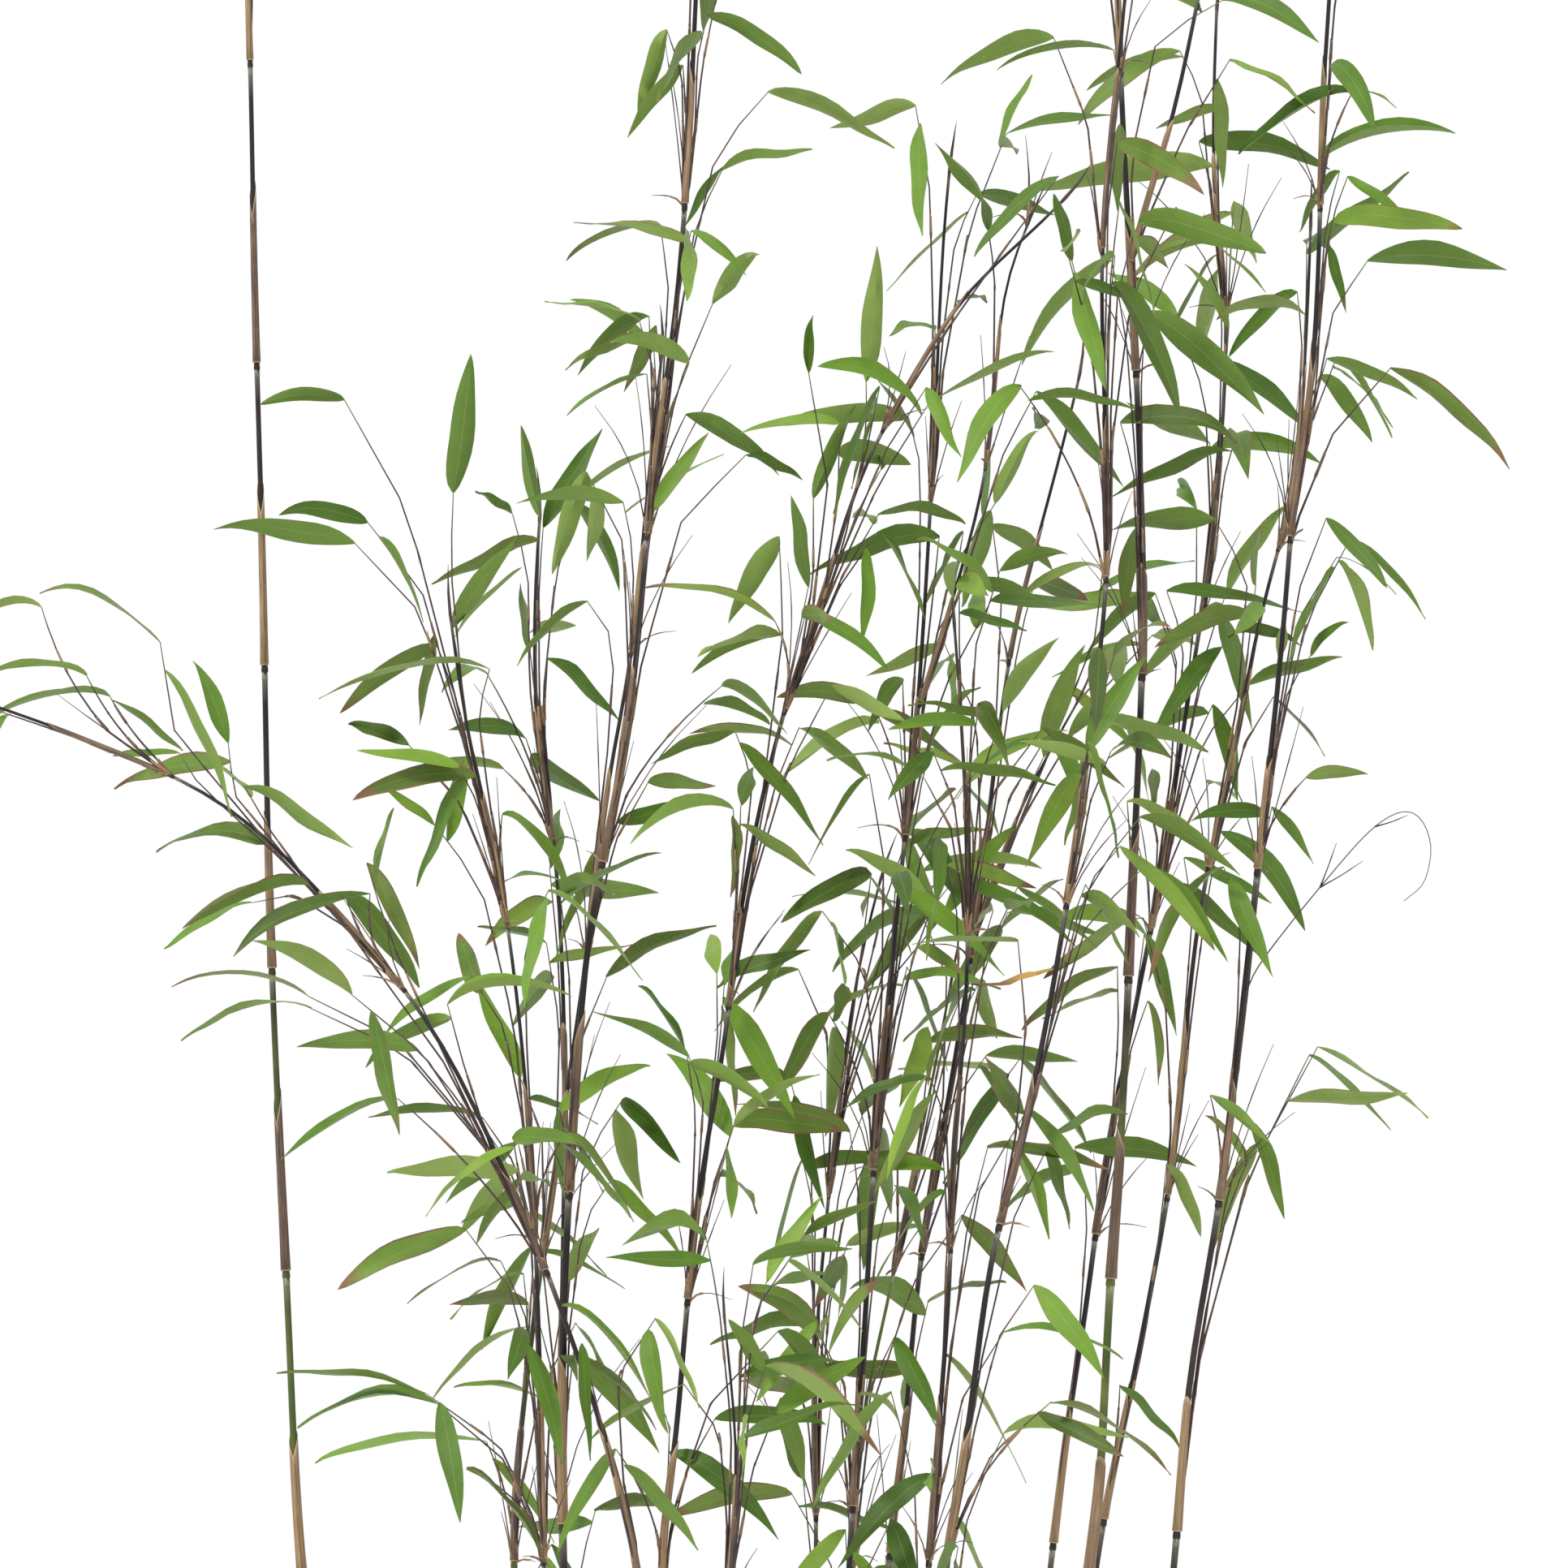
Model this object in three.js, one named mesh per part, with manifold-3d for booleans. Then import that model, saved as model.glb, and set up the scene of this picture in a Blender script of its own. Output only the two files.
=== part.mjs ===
// Clumping bamboo: eighteen leafy culms standing in their own woody rhizome crown.
// Millimetres, +Z up. The origin is on the floor under the middle of the crown, and the front looks along +Y.
import * as THREE from 'three';
import { mergeVertices } from 'three/addons/utils/BufferGeometryUtils.js';
import Module from 'manifold-3d';

const wasm = await Module();
wasm.setup();

// Culms: how far each stands in the crown, and how its rings swell at a node.
const CULM_SIDES = 5;
const CROWN_HEIGHT = 62;
const HOLE_GAP = 0.3;
const NODE_SWELL = 1.25;
const INTERNODE_WAIST = 0.92;
const INTERNODE = 195;

// Twigs and blades, three-sided: a blade is flat below, with its rib standing above it.
const BLADE_SIDES = 3;
const CORNER = Math.sin(Math.PI / 3);
const TWIG_FOOT_RADIUS = 1.15;
const TWIG_END_RADIUS = 0.7;
const TWIG_LENGTH = [55, 125];
const TWIG_LEAN = [0.2, 0.55];
const BLADE_LENGTH = [58, 84];
const BLADE_WIDTH_RATIO = 0.19;
const BLADE_THICKNESS = 1.1;
const BLADE_ARCH = [0.08, 0.2];
const SIDE_BLADE_SHARE = 0.38;
const GOLDEN_ANGLE = Math.PI * (3 - Math.sqrt(5));
const REACH_DEPTH = 38;
const TRIES = 24;
const SEED = 7;

// Room kept round each piece, as the radius of a ball at each of its sample points.
const CULM_ROOM = 5;
const TWIG_ROOM = 3.4;
const BLADE_ROOM = 4.4;
const ROOM_CELL = 12;

// Crown: the lump that the rhizomes and roots stand out of.
const CORE_SIZE = [232, 104, 44];
const CORE_CENTRE = [-32, 0, 16];
const ROOT_COUNT = 20;
const BULB_SIDES = 6;
const HOLE_SIDES = 8;
const ROOT_LENGTH = [55, 120];
const ROOT_RADIUS = 3.2;

const CULM_COLOUR = 0x3d4a22;
const CROWN_COLOUR = 0x8a6d48;

// Each culm: radii at foot and tip, its route, the height where it gets leafy with its number of sprays,
// side stems, and the outer sprays as [height on the culm, blade base x, z, blade tip x, z].
const CULMS = [
  {
    name: 'culm_01', radii: [3.1, 1.4], leafy: [1470, 1690, 4],
    route: [[-240, 25, 20], [-243, 25, 95], [-280, 28, 250], [-299, 30, 400], [-307, 30, 554], [-318, 32, 791],
      [-323, 34, 1018], [-328, 36, 1188], [-332, 38, 1366], [-342, 42, 1560], [-362, 48, 1700]],
  },
  {
    name: 'culm_02', radii: [2.4, 1.0], leafy: [420, 960, 4],
    route: [[-128, -62, 20], [-129, -62, 95], [-141, -72, 250], [-146, -78, 400], [-149, -80, 551],
      [-155, -78, 672], [-164, -76, 767], [-177, -74, 849], [-194, -74, 921], [-203, -74, 985]],
    reach: [[975, -269, 1118, -319, 1123], [970, -202, 1061, -186, 1141], [955, -253, 1042, -306, 1055],
      [940, -262, 1030, -347, 1043], [900, -179, 953, -283, 946], [850, -197, 893, -259, 898],
      [830, -187, 888, -262, 879], [780, -213, 858, -244, 881], [950, -202, 978, -158, 1030],
      [700, -191, 766, -243, 742], [590, -161, 649, -241, 640], [600, -162, 664, -208, 630],
      [530, -173, 592, -231, 570], [440, -219, 511, -310, 524], [430, -212, 504, -298, 498],
      [420, -192, 469, -142, 420]],
  },
  {
    name: 'culm_03', radii: [2.7, 1.2], leafy: [480, 1140, 5],
    route: [[-120, 35, 20], [-121, 35, 95], [-152, 40, 250], [-168, 42, 400], [-158, 44, 528], [-141, 46, 649],
      [-124, 48, 766], [-110, 50, 880], [-95, 52, 962], [-83, 56, 1086], [-76, 60, 1150]],
    reach: [[560, -162, 625, -201, 608], [520, -161, 580, -208, 559], [410, -185, 474, -291, 477]],
  },
  {
    name: 'culm_04', radii: [2.7, 1.2], leafy: [430, 1020, 5],
    route: [[-88, 62, 20], [-89, 63, 95], [-120, 84, 250], [-139, 92, 400], [-138, 94, 606], [-137, 94, 701],
      [-142, 96, 828], [-155, 98, 921], [-156, 100, 1003], [-153, 102, 1050]],
    reach: [[980, -170, 1052, -194, 1067], [985, -152, 1049, -168, 1104], [970, -151, 1044, -112, 1100],
      [440, -148, 498, -205, 515]],
  },
  {
    name: 'culm_05', radii: [3.3, 1.4], leafy: [640, 1620, 7],
    route: [[-100, -15, 20], [-101, -15, 95], [-126, -22, 250], [-135, -28, 400], [-135, -30, 563],
      [-122, -30, 771], [-106, -28, 859], [-93, -28, 937], [-80, -28, 1074], [-66, -28, 1176],
      [-58, -30, 1280], [-54, -32, 1366], [-46, -36, 1520], [-34, -42, 1640]],
    reach: [[1290, -72, 1346, -91, 1285], [1260, -62, 1324, -96, 1278], [1300, -47, 1354, 12, 1324],
      [1230, -10, 1309, 66, 1277], [1190, -37, 1263, -61, 1222], [1160, -57, 1222, -21, 1200],
      [1150, -76, 1227, -135, 1207], [1100, -89, 1168, -147, 1179], [1080, -58, 1140, -105, 1157],
      [1060, -84, 1134, -133, 1111], [1050, -60, 1110, -1, 1085], [1000, -23, 1085, 11, 1069],
      [990, -79, 1050, -46, 1099]],
  },
  {
    name: 'culm_06', radii: [2.6, 1.0], leafy: [560, 945, 5],
    route: [[-70, -70, 20], [-70, -71, 95], [-78, -95, 250], [-87, -112, 400], [-108, -118, 488],
      [-127, -120, 544], [-148, -122, 601], [-191, -124, 697], [-227, -126, 757], [-308, -130, 847],
      [-352, -132, 880], [-421, -136, 910], [-483, -140, 933], [-548, -146, 950]],
    reach: [[870, -374, 968, -445, 1012], [850, -337, 908, -363, 963], [895, -450, 990, -500, 984],
      [890, -419, 948, -483, 956], [885, -408, 936, -483, 925], [865, -365, 902, -406, 899],
      [800, -286, 822, -362, 796], [810, -318, 812, -372, 783], [775, -249, 817, -330, 794],
      [780, -265, 814, -222, 758], [690, -288, 754, -370, 777], [685, -284, 748, -362, 742],
      [650, -220, 723, -294, 722], [590, -233, 693, -305, 660]],
  },
  {
    name: 'culm_07', radii: [2.7, 1.1], leafy: [560, 1225, 8],
    route: [[-42, -52, 20], [-43, -53, 95], [-64, -62, 250], [-75, -66, 400], [-66, -66, 482], [-57, -66, 588],
      [-47, -66, 666], [-38, -66, 712], [-24, -66, 822], [-3, -66, 917], [24, -68, 999], [46, -70, 1070],
      [79, -72, 1132], [114, -76, 1187], [146, -80, 1213], [170, -84, 1238]],
    reach: [[1000, 15, 1132, 15, 1170], [1060, 50, 1128, 62, 1207], [960, 18, 1058, 46, 1112]],
  },
  {
    name: 'culm_08', radii: [1.7, 0.9], leafy: [400, 550, 4],
    route: [[-22, -88, 20], [-22, -89, 95], [-31, -104, 250], [-34, -112, 400], [-28, -114, 460],
      [-31, -116, 512], [-36, -118, 560]],
  },
  {
    name: 'culm_09', radii: [2.2, 1.0], leafy: [410, 800, 5],
    route: [[2, 56, 20], [2, 57, 95], [14, 72, 250], [20, 80, 400], [19, 82, 509], [24, 84, 586],
      [35, 86, 689], [46, 88, 766], [60, 90, 822]],
  },
  {
    name: 'culm_10', radii: [2.9, 1.1], leafy: [430, 1240, 8],
    route: [[20, -4, 20], [20, -4, 95], [33, -6, 250], [40, -6, 400], [46, -4, 494], [50, -2, 553],
      [57, 0, 672], [66, 2, 769], [76, 4, 864], [84, 6, 951], [92, 8, 1086], [98, 10, 1216], [102, 12, 1260]],
    side: [[83, 5, 930], [101, -8, 988], [124, -16, 1074], [135, -20, 1189], [149, -22, 1225]],
  },
  {
    name: 'culm_11', radii: [2.0, 1.0], leafy: [400, 740, 4],
    route: [[38, 34, 20], [38, 35, 95], [42, 44, 250], [43, 50, 400], [49, 52, 490], [64, 54, 558],
      [79, 56, 635], [97, 58, 722], [104, 60, 760]],
  },
  {
    name: 'culm_12', radii: [2.9, 1.1], leafy: [440, 1110, 6],
    route: [[62, 80, 20], [62, 81, 95], [64, 104, 250], [66, 114, 400], [75, 116, 465], [82, 118, 551],
      [92, 120, 626], [101, 120, 672], [120, 122, 790], [131, 124, 881], [143, 126, 971], [162, 128, 1046],
      [176, 130, 1098], [186, 132, 1140]],
    side: [[119, 122, 784], [144, 118, 858], [167, 116, 904], [184, 114, 934]],
  },
  {
    name: 'culm_13', radii: [2.6, 1.1], leafy: [420, 960, 6],
    route: [[66, -34, 20], [67, -34, 95], [80, -42, 250], [88, -46, 400], [93, -48, 465], [97, -50, 522],
      [101, -50, 574], [104, -50, 666], [111, -50, 741], [112, -50, 847], [107, -52, 941], [104, -54, 980]],
    reach: [[480, 97, 536, 149, 461]],
  },
  {
    name: 'culm_14', radii: [2.9, 1.2], leafy: [520, 1390, 8],
    route: [[84, -82, 20], [84, -83, 95], [92, -98, 250], [97, -106, 400], [104, -108, 448], [111, -108, 488],
      [125, -108, 594], [147, -108, 681], [170, -108, 803], [192, -108, 969], [196, -108, 1034],
      [194, -108, 1108], [192, -108, 1198], [197, -108, 1270], [203, -110, 1325], [210, -112, 1400]],
    reach: [[440, 161, 510, 235, 477]],
  },
  {
    name: 'culm_15', radii: [3.8, 1.4], leafy: [930, 1670, 6],
    route: [[140, -8, 20], [141, -8, 95], [172, -12, 250], [187, -14, 400], [194, -14, 451], [200, -14, 568],
      [208, -14, 681], [214, -14, 818], [218, -14, 900], [221, -14, 1000], [217, -14, 1124],
      [212, -14, 1219], [205, -14, 1366], [200, -16, 1540], [190, -20, 1690]],
    side: [[212, -14, 1200], [223, -22, 1243], [237, -30, 1286], [254, -38, 1366], [268, -46, 1450],
      [276, -50, 1540]],
    reach: [[1300, 203, 1335, 131, 1325], [1310, 268, 1362, 326, 1344], [1110, 223, 1172, 296, 1114],
      [1050, 207, 1105, 278, 1111], [810, 210, 872, 262, 845]],
  },
  {
    name: 'culm_16', radii: [2.7, 1.1], leafy: [640, 1210, 6],
    route: [[128, 34, 20], [129, 34, 95], [172, 40, 250], [194, 42, 400], [203, 44, 451], [217, 46, 514],
      [233, 46, 597], [243, 48, 660], [257, 50, 797], [277, 52, 890], [297, 54, 992], [317, 58, 1066],
      [325, 62, 1160], [328, 66, 1230]],
    reach: [[1130, 320, 1190, 275, 1157], [1080, 335, 1138, 371, 1095], [770, 249, 837, 303, 809],
      [580, 237, 648, 261, 605], [440, 208, 511, 245, 468]],
  },
  {
    name: 'culm_17', radii: [2.9, 1.3], leafy: [700, 1620, 6],
    route: [[176, -40, 20], [177, -40, 95], [218, -44, 250], [238, -46, 400], [243, -46, 465],
      [249, -46, 527], [268, -46, 640], [284, -46, 781], [290, -46, 836], [304, -44, 962],
      [312, -44, 1060], [322, -42, 1120], [327, -42, 1201], [330, -42, 1314], [334, -42, 1366],
      [340, -44, 1500], [352, -48, 1640]],
    reach: [[1250, 347, 1306, 372, 1298], [1220, 331, 1268, 415, 1292], [1195, 342, 1260, 317, 1228],
      [1190, 346, 1256, 381, 1228], [1160, 336, 1227, 414, 1219], [1140, 357, 1203, 444, 1208],
      [1145, 333, 1214, 343, 1174], [1080, 334, 1145, 388, 1116], [1050, 373, 1139, 446, 1089],
      [950, 339, 1022, 374, 1005], [920, 321, 961, 342, 991], [840, 320, 887, 359, 889],
      [800, 299, 869, 325, 833], [570, 327, 722, 394, 679], [560, 323, 716, 373, 668],
      [640, 260, 693, 298, 665], [590, 290, 662, 265, 597], [600, 286, 677, 302, 624]],
  },
  {
    name: 'culm_18', radii: [2.7, 1.2], leafy: [620, 1350, 6],
    route: [[106, 76, 20], [107, 77, 95], [148, 96, 250], [168, 106, 400], [177, 108, 474], [189, 110, 551],
      [201, 110, 640], [219, 110, 736], [236, 110, 822], [253, 112, 933], [270, 114, 1044],
      [278, 116, 1175], [270, 118, 1256], [270, 120, 1314], [272, 122, 1370]],
    reach: [[1260, 276, 1306, 231, 1292], [1230, 262, 1288, 343, 1283], [1180, 268, 1270, 151, 1248],
      [1160, 277, 1220, 220, 1212], [1150, 272, 1216, 243, 1162], [940, 239, 1003, 329, 987],
      [870, 270, 933, 290, 879], [750, 234, 820, 300, 780], [720, 225, 790, 244, 734],
      [690, 228, 747, 237, 703], [590, 182, 655, 257, 643]],
  },
];

// Seeded draws between 0 and 1.
function makeDraw(seed) {
  let state = seed >>> 0;
  return () => {
    state = (state + 0x6d2b79f5) >>> 0;
    let t = state;
    t = Math.imul(t ^ (t >>> 15), t | 1);
    t ^= t + Math.imul(t ^ (t >>> 7), t | 61);
    return ((t ^ (t >>> 14)) >>> 0) / 4294967296;
  };
}

function between(draw, [low, high]) {
  return low + (high - low) * draw();
}

// A stem along a smooth line through hand-placed points, with a ring at each node and one halfway between.
// It is read by height, because every culm only ever rises, on the straight runs from ring to ring.
class Stem {
  constructor(points) {
    const knots = points.map((p) => new THREE.Vector3(...p));
    const line = new THREE.CatmullRomCurve3(knots, false, 'catmullrom', 0.5).getPoints(knots.length * 12);
    const runs = [0];
    for (let i = 1; i < line.length; i += 1) runs.push(runs[i - 1] + line[i].distanceTo(line[i - 1]));
    this.length = runs[runs.length - 1];
    const count = 2 * Math.max(1, Math.round(this.length / INTERNODE));
    this.rings = [line[0]];
    for (let i = 1, k = 1; i < count; i += 1) {
      const run = (this.length * i) / count;
      while (runs[k] < run) k += 1;
      this.rings.push(line[k - 1].clone().lerp(line[k], (run - runs[k - 1]) / (runs[k] - runs[k - 1])));
    }
    this.rings.push(line[line.length - 1]);
    this.low = this.rings[0].z;
    this.high = this.rings[count].z;
  }

  at(z) {
    const { rings } = this;
    let k = 1;
    while (k < rings.length - 1 && rings[k].z < z) k += 1;
    return rings[k - 1].clone().lerp(rings[k], (z - rings[k - 1].z) / (rings[k].z - rings[k - 1].z));
  }

  direction(z) {
    return this.at(z + 6).sub(this.at(z - 6)).normalize();
  }
}

// Room kept free round every piece, in a grid of cells.
class Room {
  constructor() {
    this.cells = new Map();
  }

  key(p, i, j, k) {
    const [x, y, z] = [p.x, p.y, p.z].map((v) => Math.floor(v / ROOM_CELL));
    return `${x + i},${y + j},${z + k}`;
  }

  add(samples, owner, kind) {
    for (const { p, r } of samples) {
      const key = this.key(p, 0, 0, 0);
      if (!this.cells.has(key)) this.cells.set(key, []);
      this.cells.get(key).push({ p, r, owner, kind });
    }
  }

  meets({ p, r }, owner, kind) {
    for (let i = -1; i <= 1; i += 1) {
      for (let j = -1; j <= 1; j += 1) {
        for (let k = -1; k <= 1; k += 1) {
          for (const other of this.cells.get(this.key(p, i, j, k)) ?? []) {
            const same = other.owner === owner;
            const counts = !same || (kind === 'blade' && other.kind !== 'twig');
            const reach = same ? 0.7 * (r + other.r) : r + other.r;
            if (counts && p.distanceTo(other.p) < reach) return true;
          }
        }
      }
    }
    return false;
  }

  clear(samples, owner, kind) {
    return !samples.some((sample) => this.meets(sample, owner, kind));
  }
}

function bend(a, b, c, t) {
  const u = 1 - t;
  return a.clone().multiplyScalar(u * u).addScaledVector(b, 2 * u * t).addScaledVector(c, t * t);
}

// Half the width of a lance-shaped blade along its length, as a share of the widest half.
function lance(t) {
  return Math.min(1, Math.sin(Math.PI * Math.pow(t, 0.72)) * 1.02);
}

// A blade from its base to its tip, arched upwards and turned about its rib by roll.
function makeBlade(base, tip, arch, roll) {
  const length = base.distanceTo(tip);
  const middle = base.clone().lerp(tip, 0.5).add(new THREE.Vector3(0, 0, arch * length));
  const rib = tip.clone().sub(base).normalize();
  const flat = new THREE.Vector3().crossVectors(rib, new THREE.Vector3(0, 0, 1));
  if (flat.length() < 0.2) flat.set(1, 0, 0);
  flat.normalize().applyAxisAngle(rib, roll);
  return { base, middle, tip, flat, half: (length * BLADE_WIDTH_RATIO) / 2 };
}

function bladeSamples(blade, from) {
  const samples = [];
  for (let i = from; i <= 10; i += 1) {
    const t = i / 10;
    const centre = bend(blade.base, blade.middle, blade.tip, t);
    for (const side of [-0.8, 0, 0.8]) {
      const p = centre.clone().addScaledVector(blade.flat, side * blade.half * lance(t));
      samples.push({ p, r: BLADE_ROOM });
    }
  }
  return samples;
}

function twigSamples(twig) {
  const steps = Math.ceil(twig.foot.distanceTo(twig.end) / 6);
  const samples = [];
  for (let i = 1; i <= steps; i += 1) {
    samples.push({ p: bend(twig.foot, twig.elbow, twig.end, i / steps), r: TWIG_ROOM });
  }
  return samples;
}

// A direction at an angle round the upright, tilted up or down.
function heading(angle, tilt) {
  return new THREE.Vector3(Math.cos(angle) * Math.cos(tilt), Math.sin(angle) * Math.cos(tilt), Math.sin(tilt));
}

function drawBlade(draw, base, angle) {
  const length = between(draw, BLADE_LENGTH);
  const tilt = between(draw, [-0.95, 0.55]);
  const tip = base.clone().addScaledVector(heading(angle, tilt), length);
  return makeBlade(base, tip, between(draw, BLADE_ARCH), between(draw, [-1.1, 1.1]));
}

// One spray at a height on its stem: a steep twig that ends in a blade, often with a second blade beside it.
function drawSpray(draw, stem, z, angle) {
  const foot = stem.at(z);
  const rise = stem.direction(z);
  const length = between(draw, TWIG_LENGTH);
  const lean = between(draw, TWIG_LEAN);
  const turn = angle + between(draw, [-0.5, 0.5]);
  const out = heading(turn, 0);
  const end = foot.clone().addScaledVector(rise, length * Math.cos(lean))
    .addScaledVector(out, length * Math.sin(lean));
  const elbow = foot.clone().addScaledVector(rise, length * 0.5).addScaledVector(out, length * 0.1);
  const twig = { foot, elbow, end };
  const blades = [drawBlade(draw, end, turn + between(draw, [-0.7, 0.7]))];
  if (draw() < SIDE_BLADE_SHARE) {
    const start = bend(foot, elbow, end, 0.5).lerp(end, between(draw, [0.6, 0.88]));
    const swing = draw() < 0.5 ? -1 : 1;
    blades.push(drawBlade(draw, start, turn + swing * between(draw, [0.9, 2.2])));
  }
  return { twig, blades };
}

// One outer spray, whose blade lies where the front view has it, at a drawn depth.
function drawReach(draw, stem, [z, baseX, baseZ, tipX, tipZ]) {
  const foot = stem.at(z);
  const depth = foot.y + between(draw, [-REACH_DEPTH, REACH_DEPTH]);
  const end = new THREE.Vector3(baseX, depth, baseZ);
  const tip = new THREE.Vector3(tipX, depth + between(draw, [-25, 25]), tipZ);
  const rise = stem.direction(z).multiplyScalar(foot.distanceTo(end) * 0.5);
  const elbow = foot.clone().add(rise).lerp(foot.clone().lerp(end, 0.5), 0.45);
  const blade = makeBlade(end, tip, between(draw, BLADE_ARCH), between(draw, [-1.0, 1.0]));
  return { twig: { foot, elbow, end }, blades: [blade] };
}

function sprayIsClear(room, spray, owner) {
  if (!room.clear(twigSamples(spray.twig).slice(1), owner, 'twig')) return false;
  return spray.blades.every((blade) => room.clear(bladeSamples(blade, 3), owner, 'blade'));
}

function placeSpray(room, owner, makeOne) {
  for (let i = 0; i < TRIES; i += 1) {
    const spray = makeOne();
    if (sprayIsClear(room, spray, owner)) {
      room.add(twigSamples(spray.twig), owner, 'twig');
      for (const blade of spray.blades) room.add(bladeSamples(blade, 0), owner, 'blade');
      return spray;
    }
  }
  return null;
}

// All sprays of all culms, drawn in turn so that none crosses another culm's pieces.
function plantSprays(culms) {
  const room = new Room();
  culms.forEach((culm, owner) => {
    for (const stem of culm.stems) {
      for (let z = stem.low; z <= stem.high; z += 6) {
        room.add([{ p: stem.at(z), r: CULM_ROOM }], owner, 'culm');
      }
    }
  });
  culms.forEach((culm, owner) => {
    const draw = makeDraw(SEED * 1000 + owner);
    culm.sprays = [];
    for (const reach of culm.reach ?? []) {
      culm.sprays.push(placeSpray(room, owner, () => drawReach(draw, culm.stems[0], reach)));
    }
  });
  culms.forEach((culm, owner) => {
    const [low, high, count] = culm.leafy;
    const draw = makeDraw(SEED * 2000 + owner);
    for (let i = 0; i < count; i += 1) {
      const z = low + ((high - low) * (i + 0.5)) / count;
      const onSide = culm.stems.length > 1 && i % 3 === 2 && z > culm.stems[1].low + 20;
      const stem = onSide ? culm.stems[1] : culm.stems[0];
      const height = Math.min(z, stem.high - 8);
      const angle = owner + i * GOLDEN_ANGLE;
      culm.sprays.push(placeSpray(room, owner, () => drawSpray(draw, stem, height, angle)));
    }
    culm.sprays = culm.sprays.filter((spray) => spray !== null);
  });
}

// A closed solid from a three.js geometry.
function toSolid(geometry) {
  const bare = geometry.clone();
  bare.deleteAttribute('normal');
  bare.deleteAttribute('uv');
  const merged = mergeVertices(bare, 1e-4);
  const index = merged.getIndex().array;
  const kept = [];
  for (let i = 0; i < index.length; i += 3) {
    const [a, b, c] = [index[i], index[i + 1], index[i + 2]];
    if (a !== b && b !== c && a !== c) kept.push(a, b, c);
  }
  return new wasm.Manifold(new wasm.Mesh({
    numProp: 3,
    vertProperties: new Float32Array(merged.getAttribute('position').array),
    triVerts: new Uint32Array(kept),
  }));
}

// Wraps a many-sided cylinder along stations that each give a centre, a direction, a side and two radii.
function sweep(stations, sides) {
  const last = stations.length - 1;
  const geometry = new THREE.CylinderGeometry(1, 1, 1, sides, last);
  const position = geometry.getAttribute('position');
  for (let i = 0; i < position.count; i += 1) {
    const station = stations[Math.round((position.getY(i) + 0.5) * last)];
    const depth = new THREE.Vector3().crossVectors(station.side, station.direction);
    const p = station.centre.clone()
      .addScaledVector(station.side, position.getX(i) * station.radii[0])
      .addScaledVector(depth, position.getZ(i) * station.radii[1]);
    position.setXYZ(i, p.x, p.y, p.z);
  }
  return toSolid(geometry);
}

// Gives every station its direction, and carries the side from the given station to all others without twist.
function orient(stations, from, side) {
  stations.forEach((station, i) => {
    const before = stations[Math.max(0, i - 1)].centre;
    const after = stations[Math.min(stations.length - 1, i + 1)].centre;
    station.direction = after.clone().sub(before).normalize();
  });
  const carry = (i, near) => {
    const turn = new THREE.Quaternion().setFromUnitVectors(stations[near].direction, stations[i].direction);
    stations[i].side = stations[near].side.clone().applyQuaternion(turn);
  };
  const start = stations[from];
  start.side = side.clone().addScaledVector(start.direction, -side.dot(start.direction)).normalize();
  for (let i = from + 1; i < stations.length; i += 1) carry(i, i - 1);
  for (let i = from - 1; i >= 0; i -= 1) carry(i, i + 1);
  return stations;
}

function bladeStations(blade, shares) {
  const rib = BLADE_THICKNESS / 1.5;
  return shares.map((t) => ({
    centre: bend(blade.base, blade.middle, blade.tip, t),
    radii: t >= 1 ? [0, 0] : [Math.max(rib, blade.half * lance(t)) / CORNER, rib],
  }));
}

// The twig and the blade at its end are one body, round at the foot and flat at the tip.
function sprigSolid({ foot, elbow, end }, blade) {
  const middle = (TWIG_FOOT_RADIUS + TWIG_END_RADIUS) / 2;
  const stations = [
    { centre: foot.clone(), radii: [TWIG_FOOT_RADIUS, TWIG_FOOT_RADIUS] },
    { centre: bend(foot, elbow, end, 0.5), radii: [middle, middle] },
    { centre: end.clone(), radii: [TWIG_END_RADIUS, TWIG_END_RADIUS] },
    ...bladeStations(blade, [0.28, 0.62, 1]),
  ];
  return sweep(orient(stations, 4, blade.flat), BLADE_SIDES);
}

function sideBladeSolid(blade) {
  return sweep(orient(bladeStations(blade, [0, 0.3, 0.65, 1]), 1, blade.flat), BLADE_SIDES);
}

// A culm swells at each node and narrows between two.
function stemSolid(stem, [footRadius, tipRadius]) {
  const last = stem.rings.length - 1;
  const stations = stem.rings.map((centre, i) => {
    const swell = i === 0 || i === last ? 1 : i % 2 === 0 ? NODE_SWELL : INTERNODE_WAIST;
    const r = (footRadius + ((tipRadius - footRadius) * i) / last) * swell;
    return { centre: centre.clone(), radii: [r, r] };
  });
  return sweep(orient(stations, 0, new THREE.Vector3(1, 0, 0)), CULM_SIDES);
}

function culmSolid(culm) {
  let solid = stemSolid(culm.stems[0], culm.radii);
  const sideRadii = [culm.radii[1] * 1.3, culm.radii[1] * 0.8];
  for (const stem of culm.stems.slice(1)) solid = solid.add(stemSolid(stem, sideRadii));
  for (const { twig, blades } of culm.sprays) {
    solid = solid.add(sprigSolid(twig, blades[0]));
    for (const blade of blades.slice(1)) solid = solid.add(sideBladeSolid(blade));
  }
  return solid;
}

// The ringed bulb of rhizome that each culm rises from.
function bulbSolid(x, y, radius) {
  const wide = 11 + radius * 2.4;
  const profile = [[0, -6], [wide * 0.85, -6], [wide, 14], [wide * 0.78, 32], [wide * 0.72, 46],
    [radius + 4.2, CROWN_HEIGHT], [0, CROWN_HEIGHT]];
  const lathe = new THREE.LatheGeometry(profile.map((p) => new THREE.Vector2(...p)), BULB_SIDES);
  lathe.rotateX(Math.PI / 2);
  lathe.translate(x, y, 0);
  return toSolid(lathe);
}

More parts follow.
